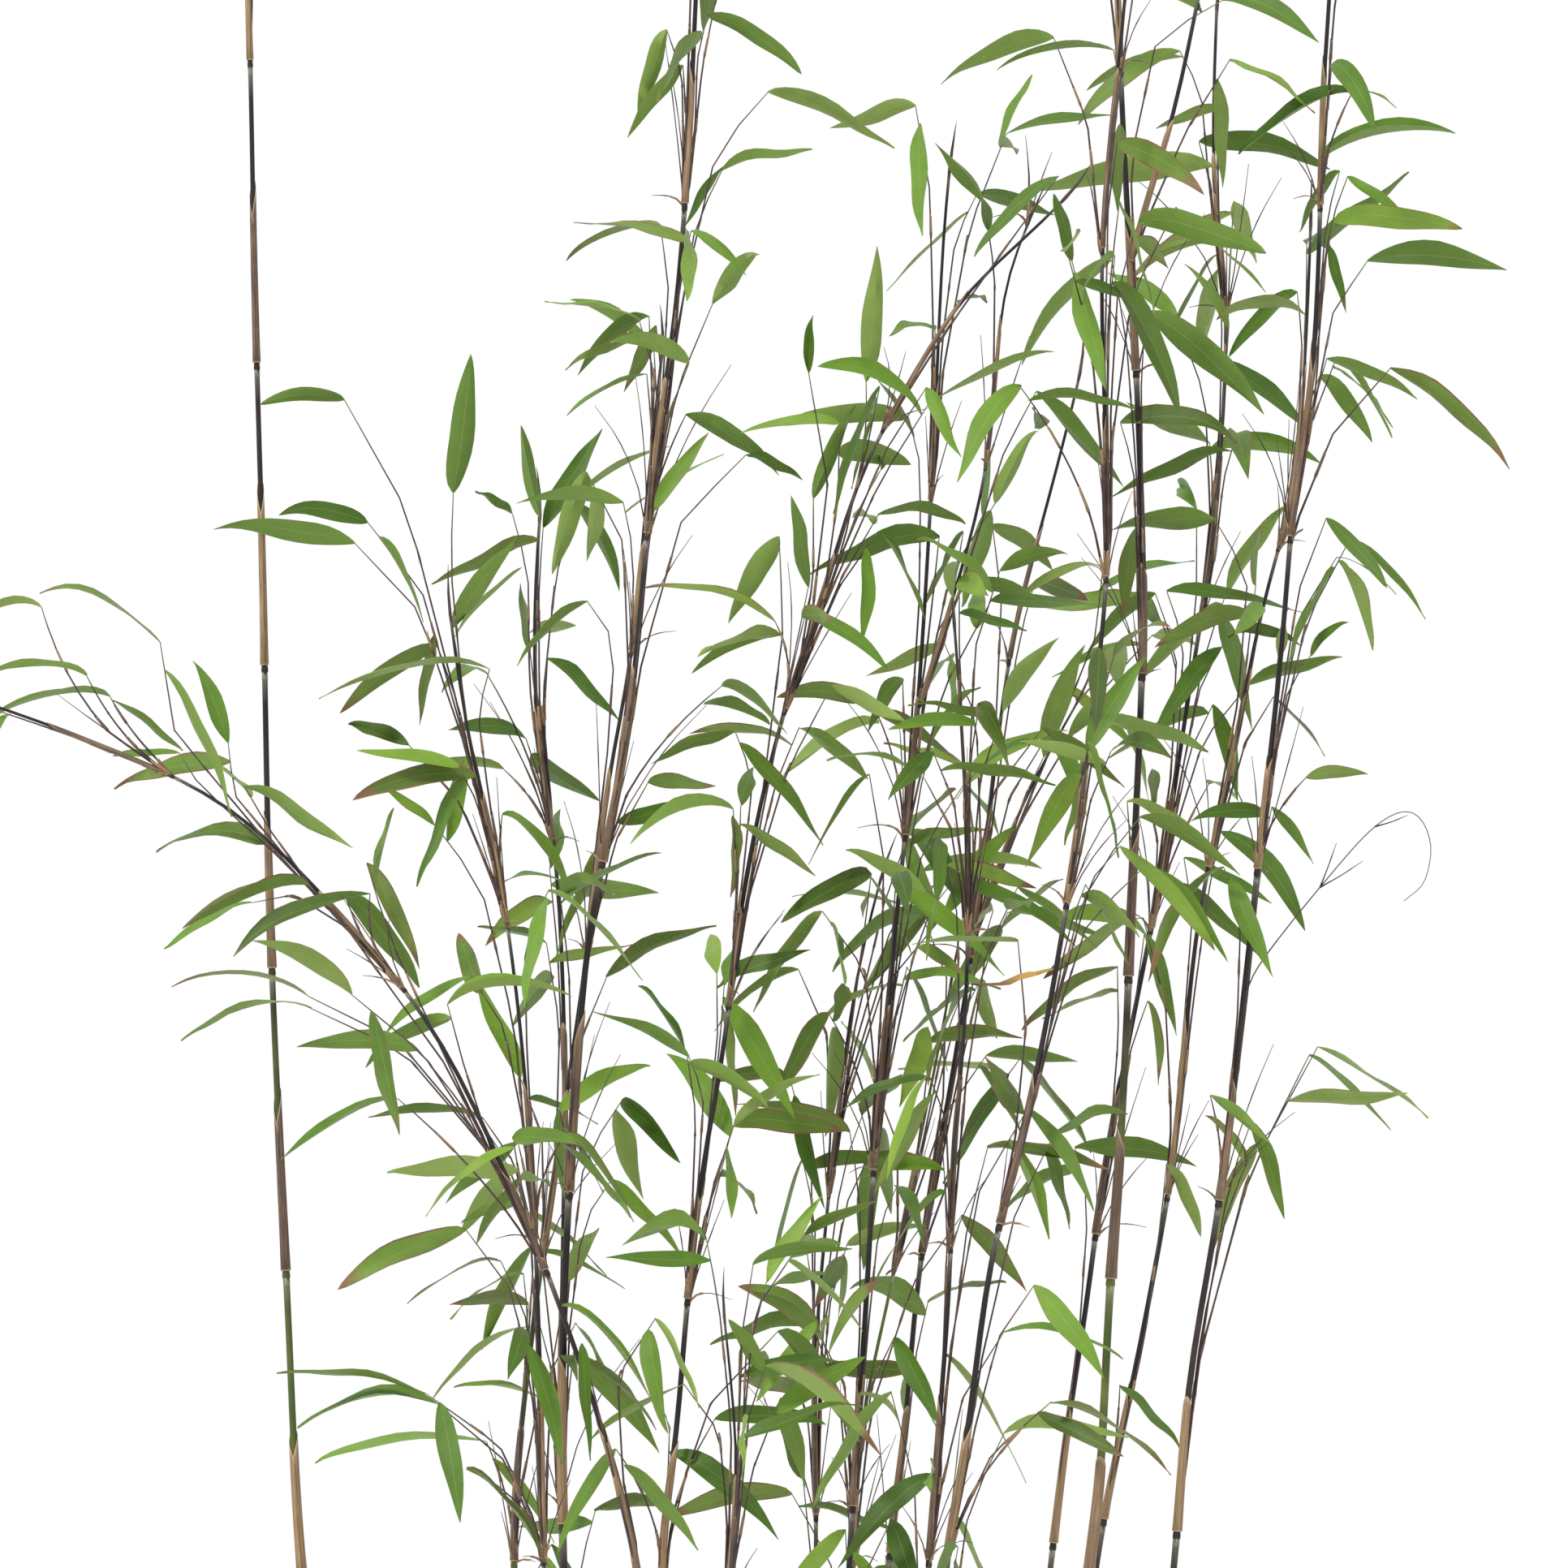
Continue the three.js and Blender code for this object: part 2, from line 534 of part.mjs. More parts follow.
// One thick root, from inside the lump out to the floor, turning down at its end.
function rootSolid(draw, i) {
  const angle = (2 * Math.PI * (i + 0.6 * draw())) / ROOT_COUNT;
  const start = new THREE.Vector3(
    CORE_CENTRE[0] + Math.cos(angle) * CORE_SIZE[0] * 0.8,
    CORE_CENTRE[1] + Math.sin(angle) * CORE_SIZE[1] * 0.8,
    between(draw, [14, 30]),
  );
  const out = heading(angle + between(draw, [-0.4, 0.4]), 0);
  const length = between(draw, ROOT_LENGTH);
  const end = start.clone().addScaledVector(out, length).setZ(1.5);
  const elbow = start.clone().addScaledVector(out, length * 0.55).setZ(start.z);
  const stations = [0, 0.5, 1].map((t) => {
    const r = ROOT_RADIUS * (1 - 0.65 * t);
    return { centre: bend(start, elbow, end, t), radii: [r, r] };
  });
  return sweep(orient(stations, 0, new THREE.Vector3(0, 0, 1).cross(out)), 4);
}

// The plain hole that a culm stands in, along its lowest straight run.
function holeSolid(culm) {
  const [foot, above] = culm.stems[0].rings;
  const along = above.clone().sub(foot).normalize();
  const radius = (culm.radii[0] + HOLE_GAP) / Math.cos(Math.PI / HOLE_SIDES);
  const stations = [-HOLE_GAP, CROWN_HEIGHT].map((run) => (
    { centre: foot.clone().addScaledVector(along, run), radii: [radius, radius] }
  ));
  return sweep(orient(stations, 0, new THREE.Vector3(1, 0, 0)), HOLE_SIDES);
}

function crownSolid(culms) {
  const draw = makeDraw(SEED * 3000);
  const core = new THREE.SphereGeometry(1, 16, 8);
  core.scale(...CORE_SIZE);
  core.translate(...CORE_CENTRE);
  let solid = toSolid(core);
  for (let i = 0; i < ROOT_COUNT; i += 1) solid = solid.add(rootSolid(draw, i));
  for (const culm of culms) {
    const [x, y] = culm.route[0];
    solid = solid.add(bulbSolid(x, y, culm.radii[0]));
  }
  const under = new THREE.BoxGeometry(1200, 800, 100);
  under.translate(0, 0, -50);
  solid = solid.subtract(toSolid(under));
  for (const culm of culms) {
    solid = solid.subtract(holeSolid(culm));
  }
  return solid;
}

function toMesh(name, solid, material) {
  const made = solid.getMesh();
  const geometry = new THREE.BufferGeometry();
  geometry.setAttribute('position', new THREE.BufferAttribute(made.vertProperties, 3));
  geometry.setIndex(new THREE.BufferAttribute(made.triVerts, 1));
  const mesh = new THREE.Mesh(geometry, material);
  mesh.name = name;
  return mesh;
}

const culms = CULMS.map((culm) => ({
  ...culm,
  stems: [culm.route, ...(culm.side ? [culm.side] : [])].map((points) => new Stem(points)),
}));
plantSprays(culms);

const culmMaterial = new THREE.MeshStandardMaterial({ color: CULM_COLOUR, roughness: 0.55, metalness: 0 });
const crownMaterial = new THREE.MeshStandardMaterial({ color: CROWN_COLOUR, roughness: 0.85, metalness: 0 });
const clump = new THREE.Group();
clump.add(toMesh('rhizome_crown', crownSolid(culms), crownMaterial));
for (const culm of culms) clump.add(toMesh(culm.name, culmSolid(culm), culmMaterial));

export default clump;
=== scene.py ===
# Clumping bamboo: finer culms, sheaths, twigs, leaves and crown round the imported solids.
# Metres for every Blender object. The growth rule works in millimetres, as the part's source does.
import math

import bpy
import numpy as np
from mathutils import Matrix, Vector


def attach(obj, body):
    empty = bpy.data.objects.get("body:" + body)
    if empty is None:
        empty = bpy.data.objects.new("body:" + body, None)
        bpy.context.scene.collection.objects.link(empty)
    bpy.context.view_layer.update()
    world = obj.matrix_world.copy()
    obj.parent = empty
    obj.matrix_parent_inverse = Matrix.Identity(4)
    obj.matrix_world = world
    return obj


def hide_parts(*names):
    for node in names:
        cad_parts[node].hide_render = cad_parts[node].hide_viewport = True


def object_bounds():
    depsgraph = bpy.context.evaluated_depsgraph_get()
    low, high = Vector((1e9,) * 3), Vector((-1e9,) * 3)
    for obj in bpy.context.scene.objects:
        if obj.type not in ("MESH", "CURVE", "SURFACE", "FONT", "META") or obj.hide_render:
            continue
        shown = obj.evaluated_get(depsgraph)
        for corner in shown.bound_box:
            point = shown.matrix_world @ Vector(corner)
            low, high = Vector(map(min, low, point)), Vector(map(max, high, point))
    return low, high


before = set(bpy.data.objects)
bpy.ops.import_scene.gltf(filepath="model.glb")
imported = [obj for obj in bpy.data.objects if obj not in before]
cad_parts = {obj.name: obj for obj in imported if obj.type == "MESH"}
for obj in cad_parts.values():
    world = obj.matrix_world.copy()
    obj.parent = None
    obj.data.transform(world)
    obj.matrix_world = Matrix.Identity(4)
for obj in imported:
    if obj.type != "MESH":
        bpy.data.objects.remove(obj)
CAD_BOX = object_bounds()
MM = 0.001

# Camera and light.
# The photograph looks level at the middle of the clump from some way off, on pure white,
# with bright, even daylight that comes a little more from the upper left.
PICTURE_WIDTH = 0.966
PICTURE_CENTRE = 0.883
CAMERA_DISTANCE = 6.0
SENSOR_WIDTH = 36.0
WHITE = (1.0, 1.0, 1.0, 1.0)
DAYLIGHT_STRENGTH, DAYLIGHT_SPREAD = 2.2, 12
DAYLIGHT_COLOUR = (1.0, 0.97, 0.92)
DAYLIGHT_TURNS = (38, -14, -24)

camera = bpy.data.objects.new("camera", bpy.data.cameras.new("camera"))
camera.data.sensor_width = SENSOR_WIDTH
camera.data.lens = SENSOR_WIDTH * CAMERA_DISTANCE / PICTURE_WIDTH
camera.data.clip_end = 10 * CAMERA_DISTANCE
camera.location = (0.0, -CAMERA_DISTANCE, PICTURE_CENTRE)
camera.rotation_euler = (math.radians(90), 0.0, 0.0)
bpy.context.collection.objects.link(camera)
bpy.context.scene.camera = camera
bpy.context.scene.view_settings.view_transform = "Standard"

world = bpy.data.worlds.new("white_studio")
world.use_nodes = True
world.node_tree.nodes["Background"].inputs["Color"].default_value = WHITE
world.node_tree.nodes["Background"].inputs["Strength"].default_value = 1.0
bpy.context.scene.world = world

daylight = bpy.data.objects.new("daylight", bpy.data.lights.new("daylight", "SUN"))
daylight.data.energy = DAYLIGHT_STRENGTH
daylight.data.angle = math.radians(DAYLIGHT_SPREAD)
daylight.data.color = DAYLIGHT_COLOUR
daylight.rotation_euler = [math.radians(turn) for turn in DAYLIGHT_TURNS]
bpy.context.collection.objects.link(daylight)


# Culms.
# A culm is the jointed woody stem: thin-walled, dark purple to black where it is ripe and olive green where
# it is young or shaded, with a swollen ring at each node and a waxy white bloom just below it.
INTERNODE = 195.0
LINE_POINTS = 12
WAY_RUN = 6
# Each culm: its radii at foot and tip, the leafy stretch of its height with its number of sprays, its route
# and that of a side stem, and its outer sprays in "reach". Each of these has its height on the culm, then x
# and z of its blade's base and of its tip in the front view.
CULMS = [
  {
    "name": "culm_01", "radii": [3.1, 1.4], "leafy": [1470, 1690, 4],
    "route": [[-240, 25, 20], [-243, 25, 95], [-280, 28, 250], [-299, 30, 400], [-307, 30, 554],
      [-318, 32, 791], [-323, 34, 1018], [-328, 36, 1188], [-332, 38, 1366], [-342, 42, 1560],
      [-362, 48, 1700]],
  },
  {
    "name": "culm_02", "radii": [2.4, 1.0], "leafy": [420, 960, 4],
    "route": [[-128, -62, 20], [-129, -62, 95], [-141, -72, 250], [-146, -78, 400], [-149, -80, 551],
      [-155, -78, 672], [-164, -76, 767], [-177, -74, 849], [-194, -74, 921], [-203, -74, 985]],
    "reach": [[975, -269, 1118, -319, 1123], [970, -202, 1061, -186, 1141], [955, -253, 1042, -306, 1055],
      [940, -262, 1030, -347, 1043], [900, -179, 953, -283, 946], [850, -197, 893, -259, 898],
      [830, -187, 888, -262, 879], [780, -213, 858, -244, 881], [950, -202, 978, -158, 1030],
      [700, -191, 766, -243, 742], [590, -161, 649, -241, 640], [600, -162, 664, -208, 630],
      [530, -173, 592, -231, 570], [440, -219, 511, -310, 524], [430, -212, 504, -298, 498],
      [420, -192, 469, -142, 420]],
  },
  {
    "name": "culm_03", "radii": [2.7, 1.2], "leafy": [480, 1140, 5],
    "route": [[-120, 35, 20], [-121, 35, 95], [-152, 40, 250], [-168, 42, 400], [-158, 44, 528],
      [-141, 46, 649], [-124, 48, 766], [-110, 50, 880], [-95, 52, 962], [-83, 56, 1086], [-76, 60, 1150]],
    "reach": [[560, -162, 625, -201, 608], [520, -161, 580, -208, 559], [410, -185, 474, -291, 477]],
  },
  {
    "name": "culm_04", "radii": [2.7, 1.2], "leafy": [430, 1020, 5],
    "route": [[-88, 62, 20], [-89, 63, 95], [-120, 84, 250], [-139, 92, 400], [-138, 94, 606],
      [-137, 94, 701], [-142, 96, 828], [-155, 98, 921], [-156, 100, 1003], [-153, 102, 1050]],
    "reach": [[980, -170, 1052, -194, 1067], [985, -152, 1049, -168, 1104], [970, -151, 1044, -112, 1100],
      [440, -148, 498, -205, 515]],
  },
  {
    "name": "culm_05", "radii": [3.3, 1.4], "leafy": [640, 1620, 7],
    "route": [[-100, -15, 20], [-101, -15, 95], [-126, -22, 250], [-135, -28, 400], [-135, -30, 563],
      [-122, -30, 771], [-106, -28, 859], [-93, -28, 937], [-80, -28, 1074], [-66, -28, 1176],
      [-58, -30, 1280], [-54, -32, 1366], [-46, -36, 1520], [-34, -42, 1640]],
    "reach": [[1290, -72, 1346, -91, 1285], [1260, -62, 1324, -96, 1278], [1300, -47, 1354, 12, 1324],
      [1230, -10, 1309, 66, 1277], [1190, -37, 1263, -61, 1222], [1160, -57, 1222, -21, 1200],
      [1150, -76, 1227, -135, 1207], [1100, -89, 1168, -147, 1179], [1080, -58, 1140, -105, 1157],
      [1060, -84, 1134, -133, 1111], [1050, -60, 1110, -1, 1085], [1000, -23, 1085, 11, 1069],
      [990, -79, 1050, -46, 1099]],
  },
  {
    "name": "culm_06", "radii": [2.6, 1.0], "leafy": [560, 945, 5],
    "route": [[-70, -70, 20], [-70, -71, 95], [-78, -95, 250], [-87, -112, 400], [-108, -118, 488],
      [-127, -120, 544], [-148, -122, 601], [-191, -124, 697], [-227, -126, 757], [-308, -130, 847],
      [-352, -132, 880], [-421, -136, 910], [-483, -140, 933], [-548, -146, 950]],
    "reach": [[870, -374, 968, -445, 1012], [850, -337, 908, -363, 963], [895, -450, 990, -500, 984],
      [890, -419, 948, -483, 956], [885, -408, 936, -483, 925], [865, -365, 902, -406, 899],
      [800, -286, 822, -362, 796], [810, -318, 812, -372, 783], [775, -249, 817, -330, 794],
      [780, -265, 814, -222, 758], [690, -288, 754, -370, 777], [685, -284, 748, -362, 742],
      [650, -220, 723, -294, 722], [590, -233, 693, -305, 660]],
  },
  {
    "name": "culm_07", "radii": [2.7, 1.1], "leafy": [560, 1225, 8],
    "route": [[-42, -52, 20], [-43, -53, 95], [-64, -62, 250], [-75, -66, 400], [-66, -66, 482],
      [-57, -66, 588], [-47, -66, 666], [-38, -66, 712], [-24, -66, 822], [-3, -66, 917], [24, -68, 999],
      [46, -70, 1070], [79, -72, 1132], [114, -76, 1187], [146, -80, 1213], [170, -84, 1238]],
    "reach": [[1000, 15, 1132, 15, 1170], [1060, 50, 1128, 62, 1207], [960, 18, 1058, 46, 1112]],
  },
  {
    "name": "culm_08", "radii": [1.7, 0.9], "leafy": [400, 550, 4],
    "route": [[-22, -88, 20], [-22, -89, 95], [-31, -104, 250], [-34, -112, 400], [-28, -114, 460],
      [-31, -116, 512], [-36, -118, 560]],
  },
  {
    "name": "culm_09", "radii": [2.2, 1.0], "leafy": [410, 800, 5],
    "route": [[2, 56, 20], [2, 57, 95], [14, 72, 250], [20, 80, 400], [19, 82, 509], [24, 84, 586],
      [35, 86, 689], [46, 88, 766], [60, 90, 822]],
  },
  {
    "name": "culm_10", "radii": [2.9, 1.1], "leafy": [430, 1240, 8],
    "route": [[20, -4, 20], [20, -4, 95], [33, -6, 250], [40, -6, 400], [46, -4, 494], [50, -2, 553],
      [57, 0, 672], [66, 2, 769], [76, 4, 864], [84, 6, 951], [92, 8, 1086], [98, 10, 1216],
      [102, 12, 1260]],
    "side": [[83, 5, 930], [101, -8, 988], [124, -16, 1074], [135, -20, 1189], [149, -22, 1225]],
  },
  {
    "name": "culm_11", "radii": [2.0, 1.0], "leafy": [400, 740, 4],
    "route": [[38, 34, 20], [38, 35, 95], [42, 44, 250], [43, 50, 400], [49, 52, 490], [64, 54, 558],
      [79, 56, 635], [97, 58, 722], [104, 60, 760]],
  },
  {
    "name": "culm_12", "radii": [2.9, 1.1], "leafy": [440, 1110, 6],
    "route": [[62, 80, 20], [62, 81, 95], [64, 104, 250], [66, 114, 400], [75, 116, 465], [82, 118, 551],
      [92, 120, 626], [101, 120, 672], [120, 122, 790], [131, 124, 881], [143, 126, 971], [162, 128, 1046],
      [176, 130, 1098], [186, 132, 1140]],
    "side": [[119, 122, 784], [144, 118, 858], [167, 116, 904], [184, 114, 934]],
  },
  {
    "name": "culm_13", "radii": [2.6, 1.1], "leafy": [420, 960, 6],
    "route": [[66, -34, 20], [67, -34, 95], [80, -42, 250], [88, -46, 400], [93, -48, 465], [97, -50, 522],
      [101, -50, 574], [104, -50, 666], [111, -50, 741], [112, -50, 847], [107, -52, 941], [104, -54, 980]],
    "reach": [[480, 97, 536, 149, 461]],
  },
  {
    "name": "culm_14", "radii": [2.9, 1.2], "leafy": [520, 1390, 8],
    "route": [[84, -82, 20], [84, -83, 95], [92, -98, 250], [97, -106, 400], [104, -108, 448],
      [111, -108, 488], [125, -108, 594], [147, -108, 681], [170, -108, 803], [192, -108, 969],
      [196, -108, 1034], [194, -108, 1108], [192, -108, 1198], [197, -108, 1270], [203, -110, 1325],
      [210, -112, 1400]],
    "reach": [[440, 161, 510, 235, 477]],
  },
  {
    "name": "culm_15", "radii": [3.8, 1.4], "leafy": [930, 1670, 6],
    "route": [[140, -8, 20], [141, -8, 95], [172, -12, 250], [187, -14, 400], [194, -14, 451],
      [200, -14, 568], [208, -14, 681], [214, -14, 818], [218, -14, 900], [221, -14, 1000],
      [217, -14, 1124], [212, -14, 1219], [205, -14, 1366], [200, -16, 1540], [190, -20, 1690]],
    "side": [[212, -14, 1200], [223, -22, 1243], [237, -30, 1286], [254, -38, 1366], [268, -46, 1450],
      [276, -50, 1540]],
    "reach": [[1300, 203, 1335, 131, 1325], [1310, 268, 1362, 326, 1344], [1110, 223, 1172, 296, 1114],
      [1050, 207, 1105, 278, 1111], [810, 210, 872, 262, 845]],
  },
  {
    "name": "culm_16", "radii": [2.7, 1.1], "leafy": [640, 1210, 6],
    "route": [[128, 34, 20], [129, 34, 95], [172, 40, 250], [194, 42, 400], [203, 44, 451], [217, 46, 514],
      [233, 46, 597], [243, 48, 660], [257, 50, 797], [277, 52, 890], [297, 54, 992], [317, 58, 1066],
      [325, 62, 1160], [328, 66, 1230]],
    "reach": [[1130, 320, 1190, 275, 1157], [1080, 335, 1138, 371, 1095], [770, 249, 837, 303, 809],
      [580, 237, 648, 261, 605], [440, 208, 511, 245, 468]],
  },
  {
    "name": "culm_17", "radii": [2.9, 1.3], "leafy": [700, 1620, 6],
    "route": [[176, -40, 20], [177, -40, 95], [218, -44, 250], [238, -46, 400], [243, -46, 465],
      [249, -46, 527], [268, -46, 640], [284, -46, 781], [290, -46, 836], [304, -44, 962],
      [312, -44, 1060], [322, -42, 1120], [327, -42, 1201], [330, -42, 1314], [334, -42, 1366],
      [340, -44, 1500], [352, -48, 1640]],
    "reach": [[1250, 347, 1306, 372, 1298], [1220, 331, 1268, 415, 1292], [1195, 342, 1260, 317, 1228],
      [1190, 346, 1256, 381, 1228], [1160, 336, 1227, 414, 1219], [1140, 357, 1203, 444, 1208],
      [1145, 333, 1214, 343, 1174], [1080, 334, 1145, 388, 1116], [1050, 373, 1139, 446, 1089],
      [950, 339, 1022, 374, 1005], [920, 321, 961, 342, 991], [840, 320, 887, 359, 889],
      [800, 299, 869, 325, 833], [570, 327, 722, 394, 679], [560, 323, 716, 373, 668],
      [640, 260, 693, 298, 665], [590, 290, 662, 265, 597], [600, 286, 677, 302, 624]],
  },
  {
    "name": "culm_18", "radii": [2.7, 1.2], "leafy": [620, 1350, 6],
    "route": [[106, 76, 20], [107, 77, 95], [148, 96, 250], [168, 106, 400], [177, 108, 474],
      [189, 110, 551], [201, 110, 640], [219, 110, 736], [236, 110, 822], [253, 112, 933], [270, 114, 1044],
      [278, 116, 1175], [270, 118, 1256], [270, 120, 1314], [272, 122, 1370]],
    "reach": [[1260, 276, 1306, 231, 1292], [1230, 262, 1288, 343, 1283], [1180, 268, 1270, 151, 1248],
      [1160, 277, 1220, 220, 1212], [1150, 272, 1216, 243, 1162], [940, 239, 1003, 329, 987],
      [870, 270, 933, 290, 879], [750, 234, 820, 300, 780], [720, 225, 790, 244, 734],
      [690, 228, 747, 237, 703], [590, 182, 655, 257, 643]],
  },
]


def smooth_line(points, steps):
    """A smooth line through given points, as the part's source draws it."""
    knots = np.array(points, dtype=float)
    knots = np.vstack([2 * knots[0] - knots[1], knots, 2 * knots[-1] - knots[-2]])
    last = len(points) - 1
    line = []
    for t in np.linspace(0.0, last, steps + 1):
        k = min(int(t), last - 1)
        u = t - k
        a, b, c, d = knots[k : k + 4]
        start, end = 0.5 * (c - a), 0.5 * (d - b)
        squared, cubed = 3 * (c - b) - 2 * start - end, 2 * (b - c) + start + end
        line.append(b + u * start + u * u * squared + u**3 * cubed)
    return np.array(line)


def run_lengths(line):
    return np.concatenate([[0.0], np.cumsum(np.linalg.norm(np.diff(line, axis=0), axis=1))])


def at_height(line, z):
    """The point of a rising line at a height, run on past its ends."""
    k = int(np.clip(np.searchsorted(line[:, 2], z), 1, len(line) - 1))
    return line[k - 1] + (line[k] - line[k - 1]) * (z - line[k - 1][2]) / (line[k][2] - line[k - 1][2])


class Stem:
    """A stem with a ring at each node and one halfway between, read by height on the runs between rings."""

    def __init__(self, points):
        self.line = smooth_line(points, len(points) * LINE_POINTS)
        runs = run_lengths(self.line)
        count = 2 * max(1, round(runs[-1] / INTERNODE))
        at = np.linspace(0.0, runs[-1], count + 1)
        self.rings = np.column_stack([np.interp(at, runs, self.line[:, i]) for i in range(3)])
        self.length = runs[-1]
        self.low, self.high = self.rings[0][2], self.rings[-1][2]

    def at(self, z):
        return at_height(self.rings, z)

    def direction(self, z):
        way = self.at(z + WAY_RUN) - self.at(z - WAY_RUN)
        return way / np.linalg.norm(way)


for culm in CULMS:
    routes = [culm["route"]] + ([culm["side"]] if "side" in culm else [])
    culm["stems"] = [Stem(points) for points in routes]


# Sprays.
# At the nodes stand steep thin branches, and each ends in one to three leaves. The rule below is that of the
# part's source: the same draws give the same twigs and blades, and none crosses another culm's pieces.
SEED = 7
OUTER_DRAWS, LEAFY_DRAWS = 1000, 2000
UP, ACROSS = np.array([0.0, 0.0, 1.0]), np.array([1.0, 0.0, 0.0])
GOLDEN_ANGLE = math.pi * (3 - math.sqrt(5))
TWIG_LENGTH, TWIG_LEAN, TWIG_SWING = (55, 125), (0.2, 0.55), (-0.5, 0.5)
ELBOW_RISE, ELBOW_OUT = 0.5, 0.1
BLADE_LENGTH, BLADE_TILT, BLADE_SWING = (58, 84), (-0.95, 0.55), (-0.7, 0.7)
BLADE_ARCH, BLADE_ROLL = (0.08, 0.2), (-1.1, 1.1)
BLADE_WIDTH_RATIO, BLADE_FULLEST, BLADE_FULLNESS = 0.19, 0.72, 1.02
UPRIGHT_RIB = 0.2
SIDE_BLADE_SHARE, SIDE_BLADE_PLACE, SIDE_BLADE_SWING = 0.38, (0.6, 0.88), (0.9, 2.2)
REACH_DEPTH, REACH_TIP_DEPTH, REACH_ROLL = 38, 25, (-1.0, 1.0)
REACH_RISE, REACH_ELBOW = 0.5, (0.55, 0.45)
SIDE_STEM_BARE, TIP_BARE = 20, 8
TRIES = 24
# The room kept round a piece, and less of it between two pieces of one culm.
CULM_ROOM, TWIG_ROOM, BLADE_ROOM, OWN_ROOM = 5.0, 3.4, 4.4, 0.7
ROOM_CELL, SAMPLE_STEP = 12, 6
BLADE_ROWS, JOINED_ROWS, BLADE_SIDES = 10, 3, (-0.8, 0.0, 0.8)


def make_draw(seed):
    """Seeded draws between 0 and 1, the same as in the part's source."""
    state = seed & 0xFFFFFFFF

    def draw():
        nonlocal state
        state = (state + 0x6D2B79F5) & 0xFFFFFFFF
        t = state
        t = ((t ^ (t >> 15)) * (t | 1)) & 0xFFFFFFFF
        t = (t ^ (t + (t ^ (t >> 7)) * (t | 61))) & 0xFFFFFFFF
        return (t ^ (t >> 14)) / 4294967296

    return draw


def between(draw, low, high):
    return low + (high - low) * draw()


def unit(v):
    return v / np.linalg.norm(v)


def bend(a, b, c, t):
    u = 1 - t
    return a * (u * u) + b * (2 * u * t) + c * (t * t)


def lance(t):
    """Half the width of a lance-shaped blade along its length, as a share of the widest half."""
    return min(1.0, math.sin(math.pi * t**BLADE_FULLEST) * BLADE_FULLNESS)


def heading(angle, tilt):
    return np.array([math.cos(angle) * math.cos(tilt), math.sin(angle) * math.cos(tilt), math.sin(tilt)])


def turn_about(v, axis, angle):
    c, s = math.cos(angle), math.sin(angle)
    return v * c + np.cross(axis, v) * s + axis * float(np.dot(axis, v)) * (1 - c)


class Room:
    """Room kept free round every piece, as balls in a grid of cells."""

    def __init__(self):
        self.cells = {}

    def add(self, samples, owner, kind):
        for x, y, z, r in samples:
            key = (math.floor(x / ROOM_CELL), math.floor(y / ROOM_CELL), math.floor(z / ROOM_CELL))
            self.cells.setdefault(key, []).append((x, y, z, r, owner, kind))

    def meets(self, sample, owner, kind):
        x, y, z, r = sample
        i, j, k = math.floor(x / ROOM_CELL), math.floor(y / ROOM_CELL), math.floor(z / ROOM_CELL)
        for di in (-1, 0, 1):
            for dj in (-1, 0, 1):
                for dk in (-1, 0, 1):
                    near = self.cells.get((i + di, j + dj, k + dk), ())
                    for ox, oy, oz, other, its_owner, its_kind in near:
                        same = its_owner == owner
                        if same and (kind != "blade" or its_kind == "twig"):
                            continue
                        reach = (OWN_ROOM if same else 1.0) * (r + other)
                        if (x - ox) ** 2 + (y - oy) ** 2 + (z - oz) ** 2 < reach * reach:
                            return True
        return False

    def clear(self, samples, owner, kind):
        return not any(self.meets(sample, owner, kind) for sample in samples)


def make_blade(base, tip, arch, roll):
    """A blade from its base to its tip, arched upwards and turned about its rib by roll."""
    length = float(np.linalg.norm(tip - base))
    middle = (base + tip) / 2 + UP * (arch * length)
    rib = (tip - base) / length
    flat = np.cross(rib, UP)
    if np.linalg.norm(flat) < UPRIGHT_RIB:
        flat = ACROSS
    flat = turn_about(unit(flat), rib, roll)
    return {"base": base, "middle": middle, "tip": tip, "flat": flat, "half": length * BLADE_WIDTH_RATIO / 2}


def blade_samples(blade, first):
    samples = []
    for i in range(first, BLADE_ROWS + 1):
        t = i / BLADE_ROWS
        centre = bend(blade["base"], blade["middle"], blade["tip"], t)
        for side in BLADE_SIDES:
            samples.append((*(centre + blade["flat"] * (side * blade["half"] * lance(t))), BLADE_ROOM))
    return samples


def twig_samples(twig):
    foot, elbow, end = twig
    steps = math.ceil(np.linalg.norm(foot - end) / SAMPLE_STEP)
    return [(*bend(foot, elbow, end, i / steps), TWIG_ROOM) for i in range(1, steps + 1)]


def steep_twig(foot, rise, out, length, lean):
    """A twig's foot, elbow and end: it leaves its stem steeply and leans out by the end."""
    end = foot + rise * (length * math.cos(lean)) + out * (length * math.sin(lean))
    elbow = foot + rise * (length * ELBOW_RISE) + out * (length * ELBOW_OUT)
    return foot, elbow, end


def beside_end(draw, twig, place):
    """Where a side leaf stands on the outer half of a twig."""
    middle = bend(*twig, 0.5)
    return middle + (twig[2] - middle) * between(draw, *place)


def draw_blade(draw, base, angle):
    length = between(draw, *BLADE_LENGTH)
    tilt = between(draw, *BLADE_TILT)
    tip = base + heading(angle, tilt) * length
    return make_blade(base, tip, between(draw, *BLADE_ARCH), between(draw, *BLADE_ROLL))


